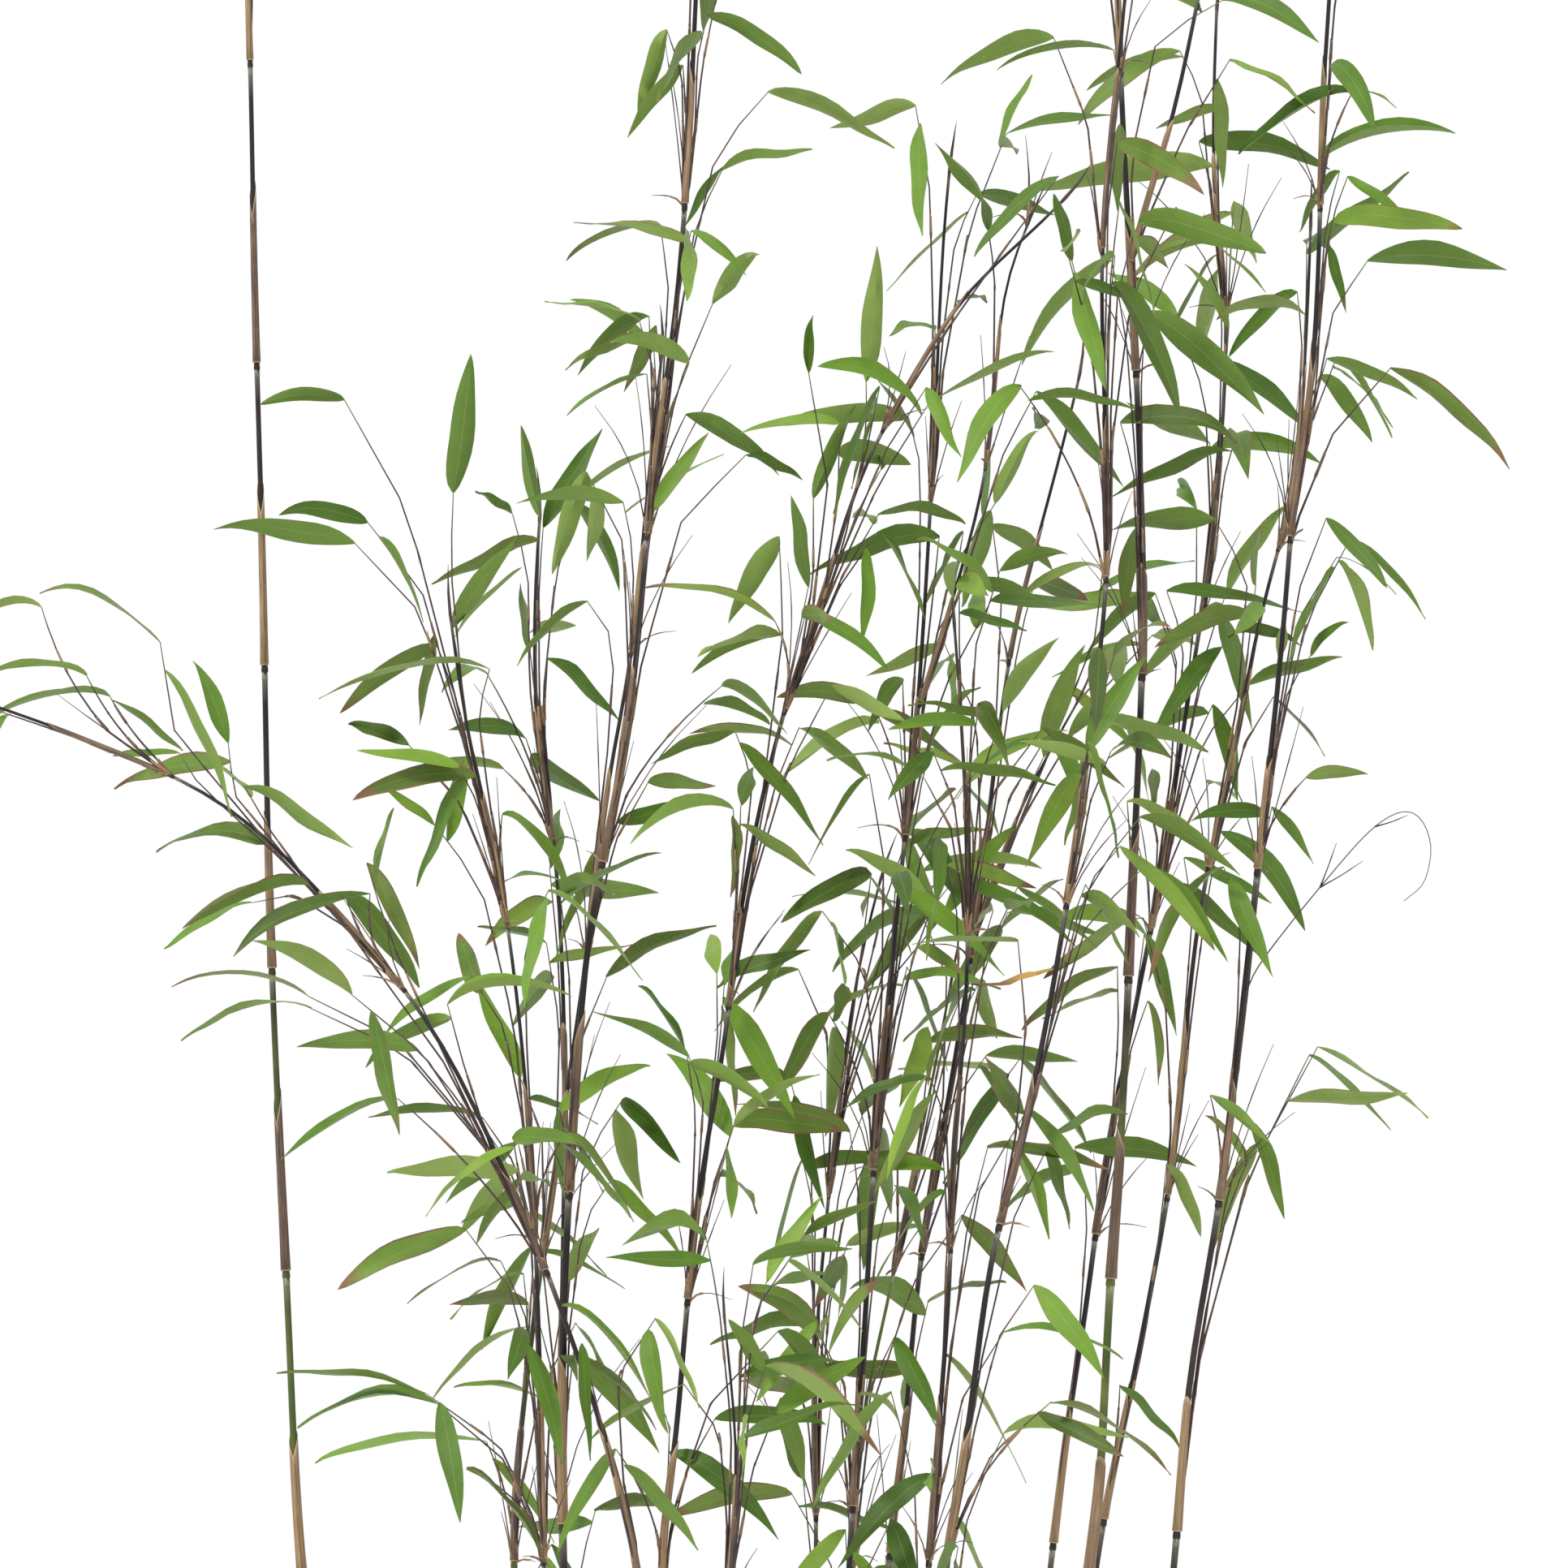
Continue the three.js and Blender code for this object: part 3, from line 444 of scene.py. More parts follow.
def draw_spray(draw, stem, z, angle):
    """A steep twig at a height on its stem, with a blade at its end and often a second one beside it."""
    length = between(draw, *TWIG_LENGTH)
    lean = between(draw, *TWIG_LEAN)
    turn = angle + between(draw, *TWIG_SWING)
    twig = steep_twig(stem.at(z), stem.direction(z), heading(turn, 0), length, lean)
    blades = [draw_blade(draw, twig[2], turn + between(draw, *BLADE_SWING))]
    if draw() < SIDE_BLADE_SHARE:
        start = beside_end(draw, twig, SIDE_BLADE_PLACE)
        swing = -1 if draw() < 0.5 else 1
        blades.append(draw_blade(draw, start, turn + swing * between(draw, *SIDE_BLADE_SWING)))
    return {"twig": twig, "blades": blades}


def draw_reach(draw, stem, reach):
    """An outer spray, whose blade lies where the front view has it, at a drawn depth."""
    z, base_x, base_z, tip_x, tip_z = reach
    foot = stem.at(z)
    depth = foot[1] + between(draw, -REACH_DEPTH, REACH_DEPTH)
    end = np.array([base_x, depth, base_z], dtype=float)
    tip = np.array([tip_x, depth + between(draw, -REACH_TIP_DEPTH, REACH_TIP_DEPTH), tip_z], dtype=float)
    rise = stem.direction(z) * (np.linalg.norm(foot - end) * REACH_RISE)
    elbow = (foot + rise) * REACH_ELBOW[0] + (foot + end) / 2 * REACH_ELBOW[1]
    blade = make_blade(end, tip, between(draw, *BLADE_ARCH), between(draw, *REACH_ROLL))
    return {"twig": (foot, elbow, end), "blades": [blade]}


def place_spray(room, owner, make_one):
    for _ in range(TRIES):
        spray = make_one()
        free = room.clear(twig_samples(spray["twig"])[1:], owner, "twig")
        rows = [sample for blade in spray["blades"] for sample in blade_samples(blade, JOINED_ROWS)]
        if free and room.clear(rows, owner, "blade"):
            room.add(twig_samples(spray["twig"]), owner, "twig")
            for blade in spray["blades"]:
                room.add(blade_samples(blade, 0), owner, "blade")
            return [spray]
    return []


room = Room()
for owner, culm in enumerate(CULMS):
    for stem in culm["stems"]:
        z = stem.low
        while z <= stem.high:
            room.add([(*stem.at(z), CULM_ROOM)], owner, "culm")
            z += SAMPLE_STEP
for owner, culm in enumerate(CULMS):
    draw = make_draw(SEED * OUTER_DRAWS + owner)
    culm["sprays"] = []
    for place, reach in enumerate(culm.get("reach", [])):
        placed = place_spray(room, owner, lambda: draw_reach(draw, culm["stems"][0], reach))
        for spray in placed:
            spray["blades"][0]["outer"] = place
        culm["sprays"] += placed
for owner, culm in enumerate(CULMS):
    low, high, count = culm["leafy"]
    draw = make_draw(SEED * LEAFY_DRAWS + owner)
    for i in range(count):
        z = low + (high - low) * (i + 0.5) / count
        on_side = len(culm["stems"]) > 1 and i % 3 == 2 and z > culm["stems"][1].low + SIDE_STEM_BARE
        stem = culm["stems"][1 if on_side else 0]
        height = min(z, stem.high - TIP_BARE)
        angle = owner + i * GOLDEN_ANGLE
        culm["sprays"] += place_spray(room, owner, lambda: draw_spray(draw, stem, height, angle))


# Added sprays.
# The solids hold fewer sprays than the plant. The same rule adds the others, at true size and clear of the
# first ones: more leafy sprays along each culm, and fans of thin twigs whose leaves have dropped.
# Each culm's stretches of added sprays: from which height to which, and how many.
MORE_SPRAYS = {
    "culm_01": [(1480, 1650, 4)],
    "culm_02": [(420, 860, 5)],
    "culm_03": [(320, 820, 5)],
    "culm_04": [(300, 560, 3), (560, 940, 5)],
    "culm_05": [(420, 700, 3), (960, 1200, 4), (1460, 1640, 5)],
    "culm_06": [(380, 760, 4)],
    "culm_07": [(400, 640, 6), (640, 720, 3), (720, 940, 5), (940, 1060, 6)],
    "culm_08": [(380, 540, 5)],
    "culm_09": [(330, 520, 2), (520, 620, 3), (620, 740, 4)],
    "culm_10": [(330, 560, 3), (560, 760, 6), (780, 880, 5), (900, 1080, 5), (1120, 1220, 3)],
    "culm_11": [(320, 520, 2), (620, 740, 3)],
    "culm_12": [(330, 560, 2), (640, 760, 3), (800, 960, 6)],
    "culm_13": [(330, 520, 3), (560, 640, 2), (640, 860, 4), (860, 970, 3)],
    "culm_14": [(340, 560, 4), (760, 820, 3), (820, 920, 5), (1080, 1220, 6)],
    "culm_15": [(1460, 1680, 6)],
    "culm_16": [(860, 1000, 2)],
    "culm_17": [(880, 960, 2), (1460, 1650, 5)],
    "culm_18": [(820, 900, 2), (900, 960, 4), (1020, 1080, 3)],
}
ADDED_DRAWS, THIRD_DRAWS, FAN_DRAWS = 4006, 5000, 6000
MORE_TILT, RAISED_TILT, RAISED_SHARE = (-1.15, 0.25), (0.2, 1.15), 0.22
MORE_ARCH, MORE_LENGTH, MORE_ROLL = (-0.03, 0.13), (52, 86), (0.5, 1.35)
MORE_SIDE_SHARE, MORE_SWING = 0.75, (0.9, 5.4)
STEM_REACHED = 30
THIRD_BLADE_SHARE, THIRD_PLACE = 0.3, (0.55, 0.95)
# Each node of the leafy stretch, and just below it, has a fan of three thin twigs and one short spur.
FAN_SIZE = 3
FANS_BELOW = 120
FAN_LENGTH, FAN_LEAN = (35, 120), (0.14, 0.6)
SPUR_LENGTH, SPUR_LEAN = (12, 36), (0.8, 1.5)
BOX_SLACK = 8.0


def kept_in(tips):
    """Whether the ends of a spray stay in the box of the solids."""
    low, high = (np.array(corner) / MM for corner in CAD_BOX)
    return all(((tip > low - BOX_SLACK) & (tip < high + BOX_SLACK)).all() for tip in tips)


def draw_added_blade(draw, base, angle):
    """A blade that droops and turns its face more to the side than those of the first sprays."""
    tilt = between(draw, *(RAISED_TILT if draw() < RAISED_SHARE else MORE_TILT))
    tip = base + heading(angle, tilt) * between(draw, *MORE_LENGTH)
    roll = between(draw, *MORE_ROLL) * (1 if draw() < 0.5 else -1)
    return make_blade(base, tip, between(draw, *MORE_ARCH), roll)


def draw_added_spray(draw, stem, low, high):
    """A leafy twig at a drawn height and side of its stem."""
    z = max(low, stem.low) + (min(high, stem.high - TIP_BARE) - max(low, stem.low)) * draw()
    turn = draw() * 2 * math.pi
    length, lean = between(draw, *TWIG_LENGTH), between(draw, *TWIG_LEAN)
    twig = steep_twig(stem.at(z), stem.direction(z), heading(turn, 0), length, lean)
    blades = [draw_added_blade(draw, twig[2], turn + between(draw, *BLADE_SWING))]
    if draw() < MORE_SIDE_SHARE:
        start = beside_end(draw, twig, SIDE_BLADE_PLACE)
        blades.append(draw_added_blade(draw, start, turn + between(draw, *MORE_SWING)))
    return {"twig": twig, "blades": blades}


for owner, culm in enumerate(CULMS):
    draw = make_draw(SEED * ADDED_DRAWS + owner)
    for low, high, count in MORE_SPRAYS[culm["name"]]:
        reached = [stem for stem in culm["stems"]
                   if stem.low < high - STEM_REACHED and stem.high > low + STEM_REACHED]
        for i in range(count):
            stem = reached[i % len(reached)]
            for spray in place_spray(room, owner, lambda: draw_added_spray(draw, stem, low, high)):
                if kept_in([spray["twig"][2]] + [blade["tip"] for blade in spray["blades"]]):
                    culm["sprays"].append(spray)
for owner, culm in enumerate(CULMS):
    draw = make_draw(SEED * THIRD_DRAWS + owner)
    for spray in culm["sprays"]:
        if draw() > THIRD_BLADE_SHARE:
            continue
        start = beside_end(draw, spray["twig"], THIRD_PLACE)
        blade = draw_added_blade(draw, start, draw() * 2 * math.pi)
        if kept_in([blade["tip"]]) and room.clear(blade_samples(blade, JOINED_ROWS), owner, "blade"):
            room.add(blade_samples(blade, 0), owner, "blade")
            spray["blades"].append(blade)
for owner, culm in enumerate(CULMS):
    draw = make_draw(SEED * FAN_DRAWS + owner)
    culm["fans"] = []
    for stem in culm["stems"]:
        for node in stem.rings[2::2]:
            if not culm["leafy"][0] - FANS_BELOW < node[2] < culm["leafy"][1]:
                continue
            for i in range(FAN_SIZE + 1):
                length = between(draw, *(FAN_LENGTH if i < FAN_SIZE else SPUR_LENGTH))
                lean = between(draw, *(FAN_LEAN if i < FAN_SIZE else SPUR_LEAN))
                out = heading(draw() * 2 * math.pi, 0)
                twig = steep_twig(node, stem.direction(node[2]), out, length, lean)
                if kept_in([twig[2]]) and room.clear(twig_samples(twig)[1:], owner, "twig"):
                    room.add(twig_samples(twig), owner, "twig")
                    culm["fans"].append(twig)


# Canes.
# The cane of each culm: an internode is turned once, with the ring of its node, and laid from node to node
# along the culm's smooth line. Colours are hex values of the real thing, made linear by one function.
CANE_SIDES = 14
CANE_RINGS = ((0.0, 1.0), (0.004, 1.16), (0.011, 1.2), (0.018, 1.13), (0.028, 1.03), (0.1, 0.99),
              (0.21, 0.98), (0.33, 0.97), (0.45, 0.97), (0.57, 0.96), (0.69, 0.96), (0.8, 0.96),
              (0.9, 0.96), (0.975, 0.98), (0.988, 1.05), (1.0, 1.0))
CANE_SHARE = 0.85
SIDE_STEM_RADII = (1.3, 0.8)
# Some culms are olive low down, and turn dark over the last stretch below this height.
OLIVE_CULMS = {"culm_01": 800, "culm_15": 760, "culm_03": 620, "culm_11": 900}
OLIVE_FADE = 150
BLOOM_LENGTH, BLOOM_STRENGTH = 7.0, 0.75
LINE_STEP = 4.0
EASE_RUN = 60.0
WELD = 0.03


def linear(colour):
    """An sRGB hex colour as linear red, green, blue and alpha."""
    parts = [int(colour[i : i + 2], 16) / 255 for i in (1, 3, 5)]
    return [*(p / 12.92 if p <= 0.04045 else ((p + 0.055) / 1.055) ** 2.4 for p in parts), 1.0]


def per_metre(size):
    """How often a pattern of a size in millimetres comes in a metre."""
    return 1 / (size * MM)


def plug(node, inputs):
    """Gives a node its inputs: an output of another node is linked, and anything else is set as a value."""
    for key, value in inputs.items():
        if isinstance(value, bpy.types.NodeSocket):
            node.id_data.links.new(value, node.inputs[key])
        else:
            node.inputs[key].default_value = value


def add_node(material, kind, inputs=None, out=0, stops=(), **settings):
    """Adds a node with its settings, colour stops and inputs, and gives the output that is used.

    Numbers stand for sockets whose names repeat. A colour mix takes its share at 0 and its colours at 6 and
    7, and gives output 2. A map range takes its value at 0, its range at 1 and 2, and the new one at 3 and 4.
    """
    made = material.node_tree.nodes.new(kind)
    for key, value in settings.items():
        setattr(made, key, value)
    for i, (place, colour) in enumerate(stops):
        ramp = made.color_ramp.elements
        stop = ramp[i] if i < 2 else ramp.new(place)
        stop.position = place
        stop.color = linear(colour)
    plug(made, inputs or {})
    return made.outputs[out]


def new_material(name):
    """A material with nothing in it but its shader and its output."""
    material = bpy.data.materials.new(name)
    material.use_nodes = True
    return material, material.node_tree.nodes["Principled BSDF"]


def start_clean():
    if bpy.context.object and bpy.context.object.mode != "OBJECT":
        bpy.ops.object.mode_set(mode="OBJECT")
    bpy.ops.object.select_all(action="DESELECT")


def pick(piece):
    """Makes a piece the only one that the next operators work on."""
    start_clean()
    piece.select_set(True)
    bpy.context.view_layer.objects.active = piece


def take_master():
    """The points and faces of the master that is being modelled, which then goes."""
    bpy.ops.object.mode_set(mode="OBJECT")
    made = bpy.context.object
    points = np.array([v.co[:] for v in made.data.vertices])
    faces = [tuple(p.vertices) for p in made.data.polygons]
    bpy.data.objects.remove(made)
    return points, faces


def turn_master(sides, rings, closed=False):
    """Turns a hollow master on its own z axis, ring after ring, by extruding and resizing a circle."""
    start_clean()
    fill = "NGON" if closed else "NOTHING"
    z, radius = rings[0]
    bpy.ops.mesh.primitive_circle_add(vertices=sides, radius=radius, fill_type=fill, location=(0, 0, z))
    bpy.ops.object.transform_apply()
    bpy.ops.object.mode_set(mode="EDIT")
    for next_z, next_radius in rings[1:]:
        bpy.ops.mesh.extrude_region_move(TRANSFORM_OT_translate={"value": (0, 0, next_z - z)})
        share = next_radius / radius
        bpy.ops.transform.resize(value=(share, share, 1))
        z, radius = next_z, next_radius
    bpy.ops.mesh.select_all(action="SELECT")
    bpy.ops.mesh.normals_make_consistent(inside=False)
    return take_master()


def part_way(pair, share):
    """The value at a share of the way from the first of a pair to the second."""
    return pair[0] + (pair[1] - pair[0]) * share


def even_line(line):
    """The same line with points at equal runs."""
    runs = run_lengths(line)
    at = np.linspace(0.0, runs[-1], max(8, int(runs[-1] / LINE_STEP)) + 1)
    return np.column_stack([np.interp(at, runs, line[:, i]) for i in range(3)])


def guide(line, side=ACROSS):
    """An even line with its side and depth directions, carried along it without twist."""
    ways = np.gradient(line, axis=0)
    ways /= np.linalg.norm(ways, axis=1)[:, None]
    sides = []
    for way in ways:
        side = unit(side - way * float(np.dot(side, way)))
        sides.append(side)
    sides = np.array(sides)
    return line, sides, np.cross(ways, sides)


def lay(along, across, deep, rail):
    """Places points by their share along a guide and their millimetres across it and out of it."""
    line, sides, depths = rail
    t = np.clip(along, 0.0, 1.0) * (len(line) - 1)
    k = np.minimum(t.astype(int), len(line) - 2)
    u = (t - k)[:, None]
    centre = line[k] * (1 - u) + line[k + 1] * u
    side = sides[k] * (1 - u) + sides[k + 1] * u
    depth = depths[k] * (1 - u) + depths[k + 1] * u
    return centre + side * across[:, None] + depth * deep[:, None]


class Batch:
    """Copies of masters that make up one piece, with a map in millimetres and named values for each point."""

    def __init__(self, *values):
        self.points, self.faces, self.map, self.count = [], [], [], 0
        self.values = {name: [] for name in values}

    def add(self, points, faces, flat, **values):
        self.points.append(points)
        self.faces += [tuple(i + self.count for i in face) for face in faces]
        self.map.append(flat)
        for name, array in self.values.items():
            array.append(np.broadcast_to(values[name], (len(points),)))
        self.count += len(points)

    def make(self, name, material, smooth_angle=50):
        mesh = bpy.data.meshes.new(name)
        mesh.from_pydata((np.vstack(self.points) * MM).tolist(), [], self.faces)
        corners = np.empty(len(mesh.loops), dtype=np.int32)
        mesh.loops.foreach_get("vertex_index", corners)
        layer = mesh.uv_layers.new(name="UVMap")
        layer.data.foreach_set("uv", (np.vstack(self.map) * MM)[corners].ravel().astype(np.float32))
        for key, arrays in self.values.items():
            attribute = mesh.attributes.new(key, "FLOAT", "POINT")
            attribute.data.foreach_set("value", np.concatenate(arrays).astype(np.float32))
        mesh.materials.append(material)
        piece = bpy.data.objects.new(name, mesh)
        bpy.context.collection.objects.link(piece)
        pick(piece)
        bpy.ops.object.shade_smooth_by_angle(angle=math.radians(smooth_angle))
        return piece


def hand_in(piece, node):
    """Lets a finished piece stand for a node of the solids."""
    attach(piece, "root")
    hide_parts(node)


# Ripe bamboo is a hard, smooth skin over straight fibres, under a thin coat of wax. It gives the eye a
# purple-black stem with a soft, narrow shine, dusty white below each node, and olive where it is young.
# The fibres lie 0.1 mm apart on the plant. They are drawn about ten times as coarse, to show, over blotches
# 38 mm wide.
CANE_FIBRE_WIDTH, CANE_FIBRE_LENGTH, CANE_BLOTCH = 1.11, 71.4, 38.5

cane_material, shader = new_material("ripe_bamboo_cane")
place = add_node(cane_material, "ShaderNodeTexCoord", out="Object")
fibre_scale = (per_metre(CANE_FIBRE_WIDTH), per_metre(CANE_FIBRE_WIDTH), per_metre(CANE_FIBRE_LENGTH))
fibre_place = add_node(cane_material, "ShaderNodeMapping", {"Vector": place, "Scale": fibre_scale})
fibre = add_node(cane_material, "ShaderNodeTexNoise", {"Vector": fibre_place, "Scale": 1.0, "Detail": 3.0})
blotch = add_node(cane_material, "ShaderNodeTexNoise",
                  {"Vector": place, "Scale": per_metre(CANE_BLOTCH), "Detail": 4.0})
young, bloom = (add_node(cane_material, "ShaderNodeAttribute", out="Fac", attribute_name=name)
                for name in ("young", "bloom"))
dark = add_node(cane_material, "ShaderNodeValToRGB", {"Fac": blotch},
                stops=[(0.3, "#191416"), (0.55, "#282122"), (0.75, "#3b312c")])
olive = add_node(cane_material, "ShaderNodeValToRGB", {"Fac": blotch},
                 stops=[(0.3, "#38441c"), (0.55, "#4d5b28"), (0.75, "#6f7338")])
body = add_node(cane_material, "ShaderNodeMix", {0: young, 6: dark, 7: olive}, 2, data_type="RGBA")
worn = add_node(cane_material, "ShaderNodeMath", {0: bloom, 1: fibre}, operation="MULTIPLY")
body = add_node(cane_material, "ShaderNodeMix", {0: worn, 6: body, 7: linear("#d9d6c4")}, 2, data_type="RGBA")
relief = add_node(cane_material, "ShaderNodeBump", {"Height": fibre, "Strength": 0.25, "Distance": 0.2 * MM})
plug(shader, {"Base Color": body, "Normal": relief, "Roughness": 0.42, "Specular IOR Level": 0.3})

cane_points, cane_faces = turn_master(CANE_SIDES, CANE_RINGS)
turn = np.arctan2(cane_points[:, 1], cane_points[:, 0])


def node_shares(stem):
    """The nodes of a stem as shares of its length, from its foot to its tip."""
    return np.linspace(0.0, 1.0, (len(stem.rings) - 1) // 2 + 1)


def stem_radii(culm, index):
    """The round cane's radii, inside the five-sided ones of the solid."""
    foot, tip = culm["radii"] if index == 0 else [culm["radii"][1] * share for share in SIDE_STEM_RADII]
    return foot * CANE_SHARE, tip * CANE_SHARE


def ease(line):
    """The line with its sharp turns eased over EASE_RUN either way, and its two ends kept."""
    line = even_line(line)
    count = int(EASE_RUN / LINE_STEP)
    first = [2 * line[0] - line[k] for k in range(count, 0, -1)]
    last = [2 * line[-1] - line[-1 - k] for k in range(1, count + 1)]
    padded = np.vstack([first, line, last])
    weights = np.hanning(2 * count + 3)[1:-1]
    weights /= weights.sum()
    return np.column_stack([np.convolve(padded[:, i], weights, mode="valid") for i in range(3)])


def close_up(piece):
    """Welds what meets and closes the open ends of a piece."""
    pick(piece)
    bpy.ops.object.mode_set(mode="EDIT")
    bpy.ops.mesh.select_all(action="SELECT")
    bpy.ops.mesh.remove_doubles(threshold=WELD * MM)
    bpy.ops.mesh.fill_holes(sides=0)
    bpy.ops.mesh.normals_make_consistent(inside=False)
    bpy.ops.object.mode_set(mode="OBJECT")


for culm in CULMS:
    batch = Batch("young", "bloom")
    olive_top = OLIVE_CULMS.get(culm["name"], 0)
    for index, stem in enumerate(culm["stems"]):
        stem.line = ease(stem.line)
        stem.rail = guide(stem.line)
        shares = node_shares(stem)
        for low, high in zip(shares[:-1], shares[1:]):
            along = low + (high - low) * cane_points[:, 2]
            radius = part_way(stem_radii(culm, index), along)
            points = lay(along, cane_points[:, 0] * radius, cane_points[:, 1] * radius, stem.rail)
            left = (high - along) * stem.length
            bloom_here = np.clip(1 - left / BLOOM_LENGTH, 0, 1) * BLOOM_STRENGTH
            young_here = np.clip((olive_top - points[:, 2]) / OLIVE_FADE, 0, 1)
            flat = np.column_stack([turn * radius, along * stem.length])
            batch.add(points, cane_faces, flat, young=young_here, bloom=bloom_here)
    cane = batch.make(culm["name"] + "_cane", cane_material)
    close_up(cane)
    hand_in(cane, culm["name"])


# Culm sheaths.
# Each internode grew out of a papery sheath that stays on for years: tan, fibrous, wrapped a little more than
# once round the cane, tight at the node below, and ending in an oblique mouth with a pointed tip.
SHEATH_DRAWS = 7000
SHEATH_LENGTH = (0.36, 0.62)
SHEATH_WRAP = math.radians(205)
SHEATH_GROW = (1.42, 1.12)
SHEATH_OVERLAP = 0.07
MOUTH_DROP, MOUTH_CURVE = 0.16, 1.4
MOUTH_WAVE, MOUTH_TURN = 0.05, 2.2
SHEATH_RISE = 5.0
SHEATH_THICKNESS = 0.28
BARE_FOOT = 110.0
# A drawn angle goes from 0 to this, all the way round.
ALL_ROUND = 6.28

# A dead sheath is dry fibre, thin as paper and bleached by the sun. It gives the eye a matt tan wrap with
# close lengthwise fibres, dark brown stains on the older ones, and a paler foot and tip.
# The fibres lie 0.2 mm apart on the plant. They are drawn nearly three times as coarse, to show. The stains
# are 25 mm wide.
SHEATH_FIBRE_WIDTH, SHEATH_FIBRE_LENGTH, SHEATH_STAIN = 0.556, 25.0, 25.0

sheath_material, shader = new_material("dry_culm_sheath")
place, flat_place = (add_node(sheath_material, "ShaderNodeTexCoord", out=kind) for kind in ("Object", "UV"))
fibre_scale = (per_metre(SHEATH_FIBRE_WIDTH), per_metre(SHEATH_FIBRE_LENGTH), 1)
fibre_place = add_node(sheath_material, "ShaderNodeMapping", {"Vector": flat_place, "Scale": fibre_scale})
fibre = add_node(sheath_material, "ShaderNodeTexNoise", {"Vector": fibre_place, "Scale": 1.0, "Detail": 4.0})
stain = add_node(sheath_material, "ShaderNodeTexNoise",
                 {"Vector": place, "Scale": per_metre(SHEATH_STAIN), "Detail": 5.0, "Roughness": 0.6})
tone, share = (add_node(sheath_material, "ShaderNodeAttribute", out="Fac", attribute_name=name)
               for name in ("tone", "share"))
paper = add_node(sheath_material, "ShaderNodeValToRGB", {"Fac": fibre},
                 stops=[(0.25, "#69543e"), (0.5, "#8b7053"), (0.75, "#ab916b")])
old = add_node(sheath_material, "ShaderNodeValToRGB", {"Fac": fibre},
               stops=[(0.25, "#3a2e2a"), (0.5, "#5f4b40"), (0.75, "#846c55")])
ageing = add_node(sheath_material, "ShaderNodeMath", {0: stain, 1: tone}, operation="ADD")
aged = add_node(sheath_material, "ShaderNodeMapRange", {0: ageing, 1: 0.95, 2: 1.45})
body = add_node(sheath_material, "ShaderNodeMix", {0: aged, 6: paper, 7: old}, 2, data_type="RGBA")
tip = add_node(sheath_material, "ShaderNodeMapRange", {0: share, 1: 0.95, 2: 1.0, 3: 0.0, 4: 0.6})
rim = add_node(sheath_material, "ShaderNodeMapRange", {0: share, 1: 0.012, 2: 0.004, 3: 0.0, 4: 0.7})
pale = add_node(sheath_material, "ShaderNodeMath", {0: tip, 1: rim}, operation="MAXIMUM")
body = add_node(sheath_material, "ShaderNodeMix", {0: pale, 6: body, 7: linear("#c4ae8c")}, 2,
                data_type="RGBA")
relief = add_node(sheath_material, "ShaderNodeBump", {"Height": fibre, "Strength": 0.5, "Distance": 0.3 * MM})
plug(shader, {"Base Color": body, "Normal": relief, "Roughness": 0.72})


def sheet_master(columns, rows):
    """An upright sheet from -1 to 1 across and 0 to 1 along, for what is wrapped or curved as it is laid."""
    start_clean()
    bpy.ops.mesh.primitive_grid_add(x_subdivisions=columns, y_subdivisions=rows, size=2, location=(0, 0, 0))
    bpy.ops.object.mode_set(mode="EDIT")
    bpy.ops.transform.resize(value=(1, 0.5, 1))
    bpy.ops.transform.translate(value=(0, 0.5, 0))
    return take_master()


def wrap_sheath(batch, sheet, rail, start, end, radius, lap, tone):
    """Lays one sheath round a cane or twig, from start to end of its guide, with its lap turned by lap."""
    points, faces = sheet
    across, along = points[:, 0], points[:, 1]
    angle = lap + across * SHEATH_WRAP
    mouth = 1 - MOUTH_DROP * np.abs(across) ** MOUTH_CURVE + MOUTH_WAVE * np.cos(across * MOUTH_TURN)
    size = radius * (part_way(SHEATH_GROW, along**0.5) * (1 + SHEATH_OVERLAP * across))
    where = start + (end - start) * along * mouth
    laid = lay(where, np.cos(angle) * size, np.sin(angle) * size, rail)
    length = (end - start) * (len(rail[0]) - 1) * np.linalg.norm(rail[0][1] - rail[0][0])
    batch.add(laid, faces, np.column_stack([angle * radius, along * length]), tone=tone, share=along)


def thicken(piece, thickness):
    pick(piece)
    solidify = piece.modifiers.new("wall", "SOLIDIFY")
    solidify.thickness = thickness * MM
    solidify.offset = 1
    bpy.ops.object.modifier_apply(modifier="wall")


cane_sheet = sheet_master(columns=12, rows=7)
for owner, culm in enumerate(CULMS):
    draw = make_draw(SEED * SHEATH_DRAWS + owner)
    batch = Batch("tone", "share")
    for index, stem in enumerate(culm["stems"]):
        shares = node_shares(stem)
        for low, high in zip(shares[:-1], shares[1:]):
            keep = between(draw, *SHEATH_LENGTH)
            lap, tone = draw() * ALL_ROUND, draw()
            node = stem.line[int(low * (len(stem.line) - 1))]
            if node[2] < BARE_FOOT:
                continue
            radius = part_way(stem_radii(culm, index), (low + high) / 2)
            start, end = low + SHEATH_RISE / stem.length, low + (high - low) * keep
            wrap_sheath(batch, cane_sheet, stem.rail, start, end, radius, lap, tone)
    sheaths = batch.make(culm["name"] + "_sheaths", sheath_material, smooth_angle=60)
    thicken(sheaths, SHEATH_THICKNESS)
    hand_in(sheaths, culm["name"])


